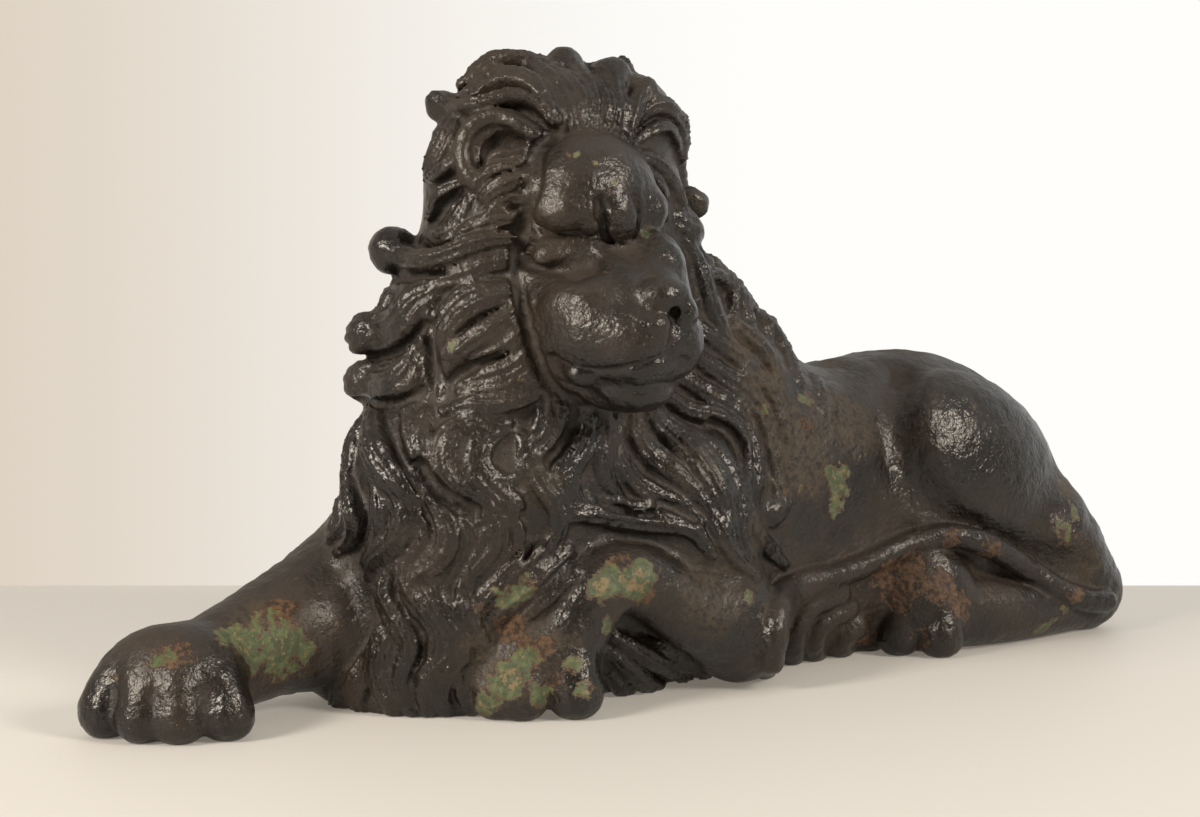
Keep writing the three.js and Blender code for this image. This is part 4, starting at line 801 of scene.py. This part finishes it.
# One point stands in each cell that the skin passes, and one face crosses each edge that it cuts
inside = grid < 0
offsets = np.array([(i, j, k) for i in (0, 1) for j in (0, 1) for k in (0, 1)])
shape = np.array(grid.shape) - 1
total = sum(
    inside[i : i + shape[0], j : j + shape[1], k : k + shape[2]].astype(np.int8)
    for i, j, k in offsets
)
cells = np.argwhere((total > 0) & (total < 8))
index = np.full(total.shape, -1)
index[tuple(cells.T)] = np.arange(len(cells))
ends = np.stack([grid[tuple((cells + offset).T)] for offset in offsets], 1)
place = np.zeros((len(cells), 3))
crossings = np.zeros(len(cells))
for a in range(8):
    for axis, bit in enumerate((4, 2, 1)):
        if a & bit:
            continue
        crossed = (ends[:, a] < 0) != (ends[:, a | bit] < 0)
        share = np.where(crossed, ends[:, a] / (ends[:, a] - ends[:, a | bit] + 1e-12), 0)
        point = np.tile(offsets[a].astype(float), (len(cells), 1))
        point[:, axis] += share
        place += point * crossed[:, None]
        crossings += crossed
skin_points = GRID_LOW + (cells + place / crossings[:, None]) * GRID_STEP

skin_faces = []
for axis in range(3):
    first, second = [other for other in range(3) if other != axis]
    low_side = np.take(inside, range(shape[axis]), axis)
    high_side = np.take(inside, range(1, shape[axis] + 1), axis)
    edges = np.argwhere(low_side != high_side)
    keep = (edges[:, first] > 0) & (edges[:, second] > 0)
    keep &= (edges[:, first] < shape[first]) & (edges[:, second] < shape[second])
    edges = edges[keep]
    faces = []
    for back, down in ((-1, -1), (0, -1), (0, 0), (-1, 0)):
        neighbour = edges.copy()
        neighbour[:, first] += back
        neighbour[:, second] += down
        faces.append(index[tuple(neighbour.T)])
    faces = np.stack(faces, 1)
    forward = low_side[tuple(edges.T)] != (axis == 1)
    skin_faces.append(np.where(forward[:, None], faces, faces[:, ::-1]))
skin_faces = np.vstack(skin_faces)

solid_low, solid_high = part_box("lion")
solid_middle = (Vector(solid_low) + Vector(solid_high)) / 2
MILLIMETRE = 0.001
drawn_middle = Vector((skin_points.min(0) + skin_points.max(0)) / 2) * MILLIMETRE
shift = Vector((solid_middle.x - drawn_middle.x, solid_middle.y - drawn_middle.y, 0))

skin = bpy.data.meshes.new("lion_casting")
skin.from_pydata((skin_points * MILLIMETRE + np.array(shift)).tolist(), [], skin_faces.tolist())
skin.update()
lion = bpy.data.objects.new("lion_casting", skin)
bpy.context.collection.objects.link(lion)
thinning = lion.modifiers.new("thinning", "DECIMATE")
thinning.ratio = min(TRIANGLES / (2 * len(skin_faces)), 1)
depsgraph = bpy.context.evaluated_depsgraph_get()
thinned = bpy.data.meshes.new_from_object(lion.evaluated_get(depsgraph))
lion.modifiers.clear()
lion.data = thinned
thinned.polygons.foreach_set("use_smooth", [True] * len(thinned.polygons))

# The casting's skin is a little uneven: shallow dents of two sizes, each with its depth in
# millimetres and how many go to a metre, which fade out towards the flat underside
DENTS = ((0.45, 95), (0.5, 240))
DENT_FADE = 0.004
co = np.empty(len(thinned.vertices) * 3)
normals = np.empty(len(thinned.vertices) * 3)
thinned.vertices.foreach_get("co", co)
thinned.vertices.foreach_get("normal", normals)
co = co.reshape(-1, 3)
dents = [sum(depth * noise_at(Vector(point) * count) for depth, count in DENTS) for point in co]
dents = np.array(dents) * np.minimum(co[:, 2] / DENT_FADE, 1)
co += normals.reshape(-1, 3) * dents[:, None] * MILLIMETRE
thinned.vertices.foreach_set("co", co.ravel())
thinned.update()
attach(lion, "root")
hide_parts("lion")


# The paint: old satin black over an older green coat, worn through to green, tan filler and rusty
# iron at the paws, the forelegs, the flank and the rump. The wear is set out as listed spots.
class Shade:
    """A node socket that can be used in arithmetic; tree is the one that new nodes go into."""

    tree = None

    def __init__(self, socket):
        self.socket = socket

    @classmethod
    def node(cls, kind, settings=None, values=None, output=0):
        made = cls.tree.nodes.new(kind)
        for name, setting in (settings or {}).items():
            setattr(made, name, setting)
        for name, value in (values or {}).items():
            if isinstance(value, Shade):
                cls.tree.links.new(value.socket, made.inputs[name])
            else:
                made.inputs[name].default_value = value
        return cls(made.outputs[output])

    @classmethod
    def maths(cls, operation, *values):
        return cls.node("ShaderNodeMath", {"operation": operation}, dict(enumerate(values)))

    def __add__(self, other):
        return self.maths("ADD", self, other)

    def __sub__(self, other):
        return self.maths("SUBTRACT", self, other)

    def __rsub__(self, other):
        return self.maths("SUBTRACT", other, self)

    def __mul__(self, other):
        return self.maths("MULTIPLY", self, other)

    def __truediv__(self, other):
        return self.maths("DIVIDE", self, other)

    def __rtruediv__(self, other):
        return self.maths("DIVIDE", other, self)

    __radd__ = __add__
    __rmul__ = __mul__

    def along(self, direction):
        """How far a place, or a direction, reaches along the given direction."""
        settings = {"operation": "DOT_PRODUCT"}
        return Shade.node("ShaderNodeVectorMath", settings, {0: self, 1: direction}, output="Value")

    def feeds(self, socket):
        Shade.tree.links.new(self.socket, socket)

    def within(self, low, high):
        """0 below low, 1 above high, smooth between."""
        settings = {"interpolation_type": "SMOOTHSTEP"}
        return Shade.node("ShaderNodeMapRange", settings, {"Value": self, 1: low, 2: high})


def new_finish(name):
    """A material whose tree the next shades go into, and its shader's sockets."""
    made = bpy.data.materials.new(name)
    made.use_nodes = True
    Shade.tree = made.node_tree
    return made, Shade.tree.nodes["Principled BSDF"].inputs


def attribute(name):
    return Shade.node("ShaderNodeAttribute", {"attribute_name": name}, output="Fac")


def noise(scale, detail, rough):
    place = Shade.node("ShaderNodeTexCoord", output="Object")
    values = {"Vector": place, "Scale": scale, "Detail": detail, "Roughness": rough}
    return Shade.node("ShaderNodeTexNoise", values=values)


def mixed(share, below, above):
    values = {0: share, 6: below, 7: above}
    return Shade.node("ShaderNodeMix", {"data_type": "RGBA"}, values, output=2)


# Worn spots, drawn on the board: across, up, radius, how deep the wear goes
GREEN_SPOTS = [
    (-164, 37, 14, 1.0),
    (-176, 38, 10, 0.9),
    (-153, 30, 11, 0.9),
    (-190, 43, 7, 0.7),
    (-134, 48, 4, 0.7),
    (-219, 35, 7, 0.7),
    (8, 70, 9, 1.0),
    (19, 70, 9, 1.0),
    (0, 66, 7, 0.9),
    (4, 48, 5, 0.8),
    (-46, 62, 7, 0.8),
    (-36, 68, 6, 0.7),
    (-60, 56, 6, 0.7),
    (-57, 8, 6, 0.9),
    (-48, 18, 8, 0.9),
    (-38, 27, 8, 0.9),
    (-30, 12, 7, 0.8),
    (-14, 27, 6, 0.8),
    (-8, 14, 6, 0.7),
    (118, 123, 6, 1.0),
    (120, 116, 7, 1.1),
    (117, 107, 6, 1.0),
    (102, 160, 5, 0.9),
    (102, 117, 4, 0.8),
    (83, 158, 4, 0.7),
    (74, 62, 4, 0.7),
    (-74, 188, 3, 0.6),
    (232, 94, 6, 0.8),
    (237, 104, 5, 0.8),
    (222, 45, 6, 0.9),
    (232, 54, 5, 0.8),
    (-11, 283, 1.5, 0.8),
    (-2, 279, 1.5, 0.8),
    (10, 282, 1.5, 0.8),
    (8, 268, 1.5, 0.8),
    (-17, 267, 1.5, 0.8),
    (23, 243, 3, 1.0),
]
RUST_SPOTS = [
    (-215, 36, 10, 0.7),
    (-158, 56, 7, 0.9),
    (-150, 26, 7, 0.8),
    (-44, 44, 9, 0.8),
    (-30, 36, 7, 0.7),
    (10, 78, 8, 0.8),
    (24, 62, 7, 0.7),
    (-20, 20, 7, 0.6),
    (143, 74, 11, 1.0),
    (155, 76, 9, 1.0),
    (150, 64, 9, 0.9),
    (170, 66, 9, 0.9),
    (180, 58, 8, 0.8),
    (160, 40, 8, 0.6),
    (196, 84, 7, 0.8),
    (176, 91, 6, 0.8),
    (228, 43, 9, 0.9),
    (238, 64, 8, 0.8),
    (240, 90, 8, 0.7),
    (133, 42, 8, 0.6),
    (104, 148, 8, 0.6),
]
# Where the paint has weathered to a dry brown: the flank, the back, the rump and the near foreleg
DRY_SPOTS = [
    (100, 135, 26, 1.0),
    (85, 165, 18, 1.0),
    (125, 150, 20, 1.0),
    (70, 190, 14, 0.9),
    (110, 178, 16, 1.0),
    (150, 185, 16, 0.9),
    (190, 178, 14, 0.8),
    (232, 120, 14, 0.9),
    (244, 80, 12, 0.8),
    (55, 62, 22, 0.8),
    (80, 95, 14, 0.7),
    (48, 128, 14, 0.6),
    (-30, 120, 14, 0.5),
    (-40, 30, 26, 0.8),
    (-165, 40, 26, 0.8),
]
SPOT_EDGE = 1.6
shown = np.empty(len(lion.data.vertices) * 3)
lion.data.vertices.foreach_get("co", shown)
shown = shown.reshape(-1, 3)
skin_tree = BVHTree.FromPolygons(shown, [face.vertices for face in lion.data.polygons])


def wear(name, spots):
    """Writes how worn each point is: the depth at a spot's middle, less towards its edge."""
    amount = np.zeros(len(shown))
    for across, up, radius, depth in spots:
        rise = (up - BOARD_MIDDLE_HEIGHT) / BOARD_DISTANCE
        sight = eye_forward + eye_across * across / BOARD_DISTANCE + eye_up * rise
        middle = skin_tree.ray_cast(Vector(EYE) * MILLIMETRE + shift, Vector(sight))[0]
        if middle is None:
            continue
        gap = np.linalg.norm(shown - np.array(middle), axis=1) / (radius * MILLIMETRE)
        amount = np.maximum(amount, depth * np.clip(SPOT_EDGE - gap, 0, 1))
    lion.data.attributes.new(name, "FLOAT", "POINT").data.foreach_set("value", amount)


wear("worn_green", GREEN_SPOTS)
wear("worn_rust", RUST_SPOTS)
wear("dry", DRY_SPOTS)

# How hollow each point is: how far the smoothed skin stands out from it, in millimetres
SMOOTHINGS = 6
normals = np.empty(len(shown) * 3)
lion.data.vertices.foreach_get("normal", normals)
edges = np.empty(len(lion.data.edges) * 2, int)
lion.data.edges.foreach_get("vertices", edges)
edges = edges.reshape(-1, 2)
smooth = shown.copy()
for _ in range(SMOOTHINGS):
    total = np.zeros_like(smooth)
    count = np.zeros(len(smooth))
    for a, b in ((0, 1), (1, 0)):
        np.add.at(total, edges[:, a], smooth[edges[:, b]])
        np.add.at(count, edges[:, a], 1)
    smooth = total / count[:, None]
hollow = ((smooth - shown) * normals.reshape(-1, 3)).sum(1) / MILLIMETRE
lion.data.attributes.new("hollow", "FLOAT", "POINT").data.foreach_set("value", hollow)

# How far each point looks up, where dust settles
upward = normals.reshape(-1, 3)[:, 2]
lion.data.attributes.new("upward", "FLOAT", "POINT").data.foreach_set("value", upward)

BLACK = (0.006, 0.0044, 0.003, 1)
BROWN_BLACK = (0.024, 0.0155, 0.0092, 1)
DUST = (0.03, 0.021, 0.0135, 1)
DRY_BROWN = (0.054, 0.038, 0.022, 1)
GREEN = (0.085, 0.105, 0.045, 1)
DARK_GREEN = (0.045, 0.06, 0.028, 1)
TAN = (0.16, 0.115, 0.06, 1)
RUST = (0.1, 0.053, 0.027, 1)

painted_iron, iron = new_finish("painted_iron")
blotches = noise(14, 5, 0.6)
crumbs = noise(330, 4, 0.65)
edge_noise = noise(75, 6, 0.68)
fine_noise = noise(240, 3, 0.6)
hollow_here = attribute("hollow")
dry_here = (attribute("dry") + (edge_noise - 0.5) * 1.4).within(0.2, 1.1)
dusty_here = (attribute("upward") + (blotches - 0.5) * 0.8).within(0.45, 0.95)
worn_green = attribute("worn_green") + (edge_noise - 0.5) * 2.6 + (fine_noise - 0.5) * 0.9
worn_rust = attribute("worn_rust") + (edge_noise - 0.5) * 2.2 + (fine_noise - 0.5) * 1.2
stray = (noise(48, 6, 0.7) + (fine_noise - 0.5) * 0.35).within(0.69, 0.72)
green_here = worn_green.within(0.62, 0.68)
rim_here = worn_green.within(0.46, 0.6)
rust_here = worn_rust.within(0.5, 0.62)
tan_here = (worn_green + (crumbs - 0.5) * 2.4).within(1.05, 1.2)

colour = mixed(blotches.within(0.42, 0.72), BLACK, BROWN_BLACK)
colour = mixed(hollow_here.within(0.15, 0.9) * 0.45 + dusty_here * 0.2, colour, DUST)
colour = mixed(dry_here * crumbs.within(0.36, 0.56) * 0.8, colour, DRY_BROWN)
colour = mixed(stray * 0.5, colour, RUST)
colour = mixed(rust_here * 0.85, colour, mixed(crumbs.within(0.4, 0.6), RUST, BROWN_BLACK))
colour = mixed(rim_here * 0.7, colour, RUST)
colour = mixed(green_here, colour, mixed(fine_noise.within(0.4, 0.65), DARK_GREEN, GREEN))
colour = mixed(tan_here, colour, TAN)
gloss = 0.23 + blotches.within(0.35, 0.7) * 0.14 + hollow_here.within(0.1, 0.8) * 0.3
gloss = gloss + rust_here * 0.3 + green_here * 0.2 + crumbs * 0.12 + stray * 0.2 + dusty_here * 0.22
gloss = gloss + dry_here * 0.3
colour.feeds(iron["Base Color"])
gloss.feeds(iron["Roughness"])

# The grain is bump only: peel, pits, and the step down to the worn patches
BUMP_STRENGTH = 0.85
BUMP_DEPTH = 0.0007
peel = noise(430, 2, 0.5)
pits = noise(900, 2, 0.5).within(0.62, 0.75)
grain = peel * 0.6 + noise(170, 3, 0.55) * 2 - pits * 0.35 - rim_here * 0.35 - rust_here * crumbs
bumps = {"Height": grain, "Strength": BUMP_STRENGTH, "Distance": BUMP_DEPTH}
Shade.node("ShaderNodeBump", values=bumps, output="Normal").feeds(iron["Normal"])
lion.data.materials.append(painted_iron)


# The table, the light and the camera. The pale table ends just behind the lion, and a brighter
# sheet carries on from its edge as the wall. Two lamps stand to the left and to the front right, a
# weak one hangs above, and the camera has the photograph's height and turn.
TABLE_COLOUR = (0.43, 0.43, 0.42, 1)
TABLE_ROUGH = 0.6
TABLE_GLOW = 0.22
# The wall's tone on the left is painted shade: darker and warmer than its lit right side
SHADED_WALL_LEFT = (0.73, 0.645, 0.54, 1)
WALL_RIGHT = (1, 0.99, 0.965, 1)
WALL_TURNS = (-0.3, 0.08)
TABLE_START, TABLE_EDGE, WALL_END = -8, 1.39, 300
HALF_WIDTH = 30
eye_place = Vector(EYE) * MILLIMETRE + shift
ahead = Vector((-math.sin(EYE_TURN), math.cos(EYE_TURN), 0))
beside = Vector(eye_across)
ground = Vector((eye_place.x, eye_place.y, 0))


def sheet(name, near, far, material):
    """A flat sheet on the floor, from near to far ahead of the eye."""
    sides = ((-1, near), (1, near), (1, far), (-1, far))
    corners = [ground + beside * HALF_WIDTH * side + ahead * y for side, y in sides]
    mesh = bpy.data.meshes.new(name)
    mesh.from_pydata(corners, [], [(0, 1, 2, 3)])
    mesh.materials.append(material)
    made = bpy.data.objects.new(name, mesh)
    bpy.context.collection.objects.link(made)


def wall_glow_shaded_left(place):
    """The wall's glow, with painted shade that makes it darker and warmer to the left, at a place
    measured from the eye.
    """
    to_the_right = place.along(beside) / place.along(ahead)
    return mixed(to_the_right.within(*WALL_TURNS), SHADED_WALL_LEFT, WALL_RIGHT)


pale_table, table = new_finish("pale_table")
table["Base Color"].default_value = TABLE_COLOUR
table["Roughness"].default_value = TABLE_ROUGH
table["Emission Color"].default_value = SHADED_WALL_LEFT
table["Emission Strength"].default_value = TABLE_GLOW
sheet("table", TABLE_START, TABLE_EDGE, pale_table)

backdrop, wall = new_finish("backdrop")
wall["Base Color"].default_value = (0, 0, 0, 1)
wall["Roughness"].default_value = 1
wall["Specular IOR Level"].default_value = 0
wall["Emission Strength"].default_value = 1
# The backdrop glows in the wall's tone, with painted shade darker and warmer towards the left
places = Shade.node("ShaderNodeTexCoord", output="Object")
from_eye = Shade.node("ShaderNodeVectorMath", {"operation": "SUBTRACT"}, {0: places, 1: ground})
wall_glow_shaded_left(from_eye).feeds(wall["Emission Color"])
sheet("backdrop", TABLE_EDGE, WALL_END, backdrop)

LAMP_COLOUR = (1, 0.89, 0.76)


def lamp(name, place, target, size, power):
    """A square soft lamp; its size is in metres and its power in watts."""
    light = bpy.data.lights.new(name, "AREA")
    light.size = size
    light.energy = power
    light.color = LAMP_COLOUR
    made = bpy.data.objects.new(name, light)
    bpy.context.collection.objects.link(made)
    made.location = place
    made.rotation_euler = (Vector(target) - Vector(place)).to_track_quat("-Z", "Y").to_euler()


lamp("key_left", (-1.7, -0.1, 0.95), (0, 0, 0.14), 0.5, 38)
lamp("front_right", (0.55, -1.9, 1.25), (0, 0, 0.12), 0.6, 42)
lamp("high", (-0.3, -0.9, 2.2), (0, 0, 0), 1.6, 6)

# The room glows behind the lion and is nearly dark behind the eye
DIM = 0.1
BRIGHTER = 0.9
BEHIND, BEFORE = -0.7, 0.75
world = bpy.data.worlds.new("studio")
bpy.context.scene.world = world
world.use_nodes = True
Shade.tree = world.node_tree
background = Shade.tree.nodes["Background"]
sight = Shade.node("ShaderNodeTexCoord", output="Generated")
wall_glow_shaded_left(sight).feeds(background.inputs["Color"])
strength = DIM + sight.along(ahead).within(BEHIND, BEFORE) * BRIGHTER
strength.feeds(background.inputs["Strength"])
bpy.context.scene.view_settings.view_transform = "Standard"

SENSOR_WIDTH = 36
FOCAL_LENGTH = 69
camera = bpy.data.objects.new("camera", bpy.data.cameras.new("camera"))
bpy.context.collection.objects.link(camera)
camera.data.sensor_width = SENSOR_WIDTH
camera.data.lens = FOCAL_LENGTH
camera.location = eye_place
axes = Matrix((eye_across, eye_up, -eye_forward)).transposed()
camera.rotation_euler = axes.to_euler()
bpy.context.scene.camera = camera
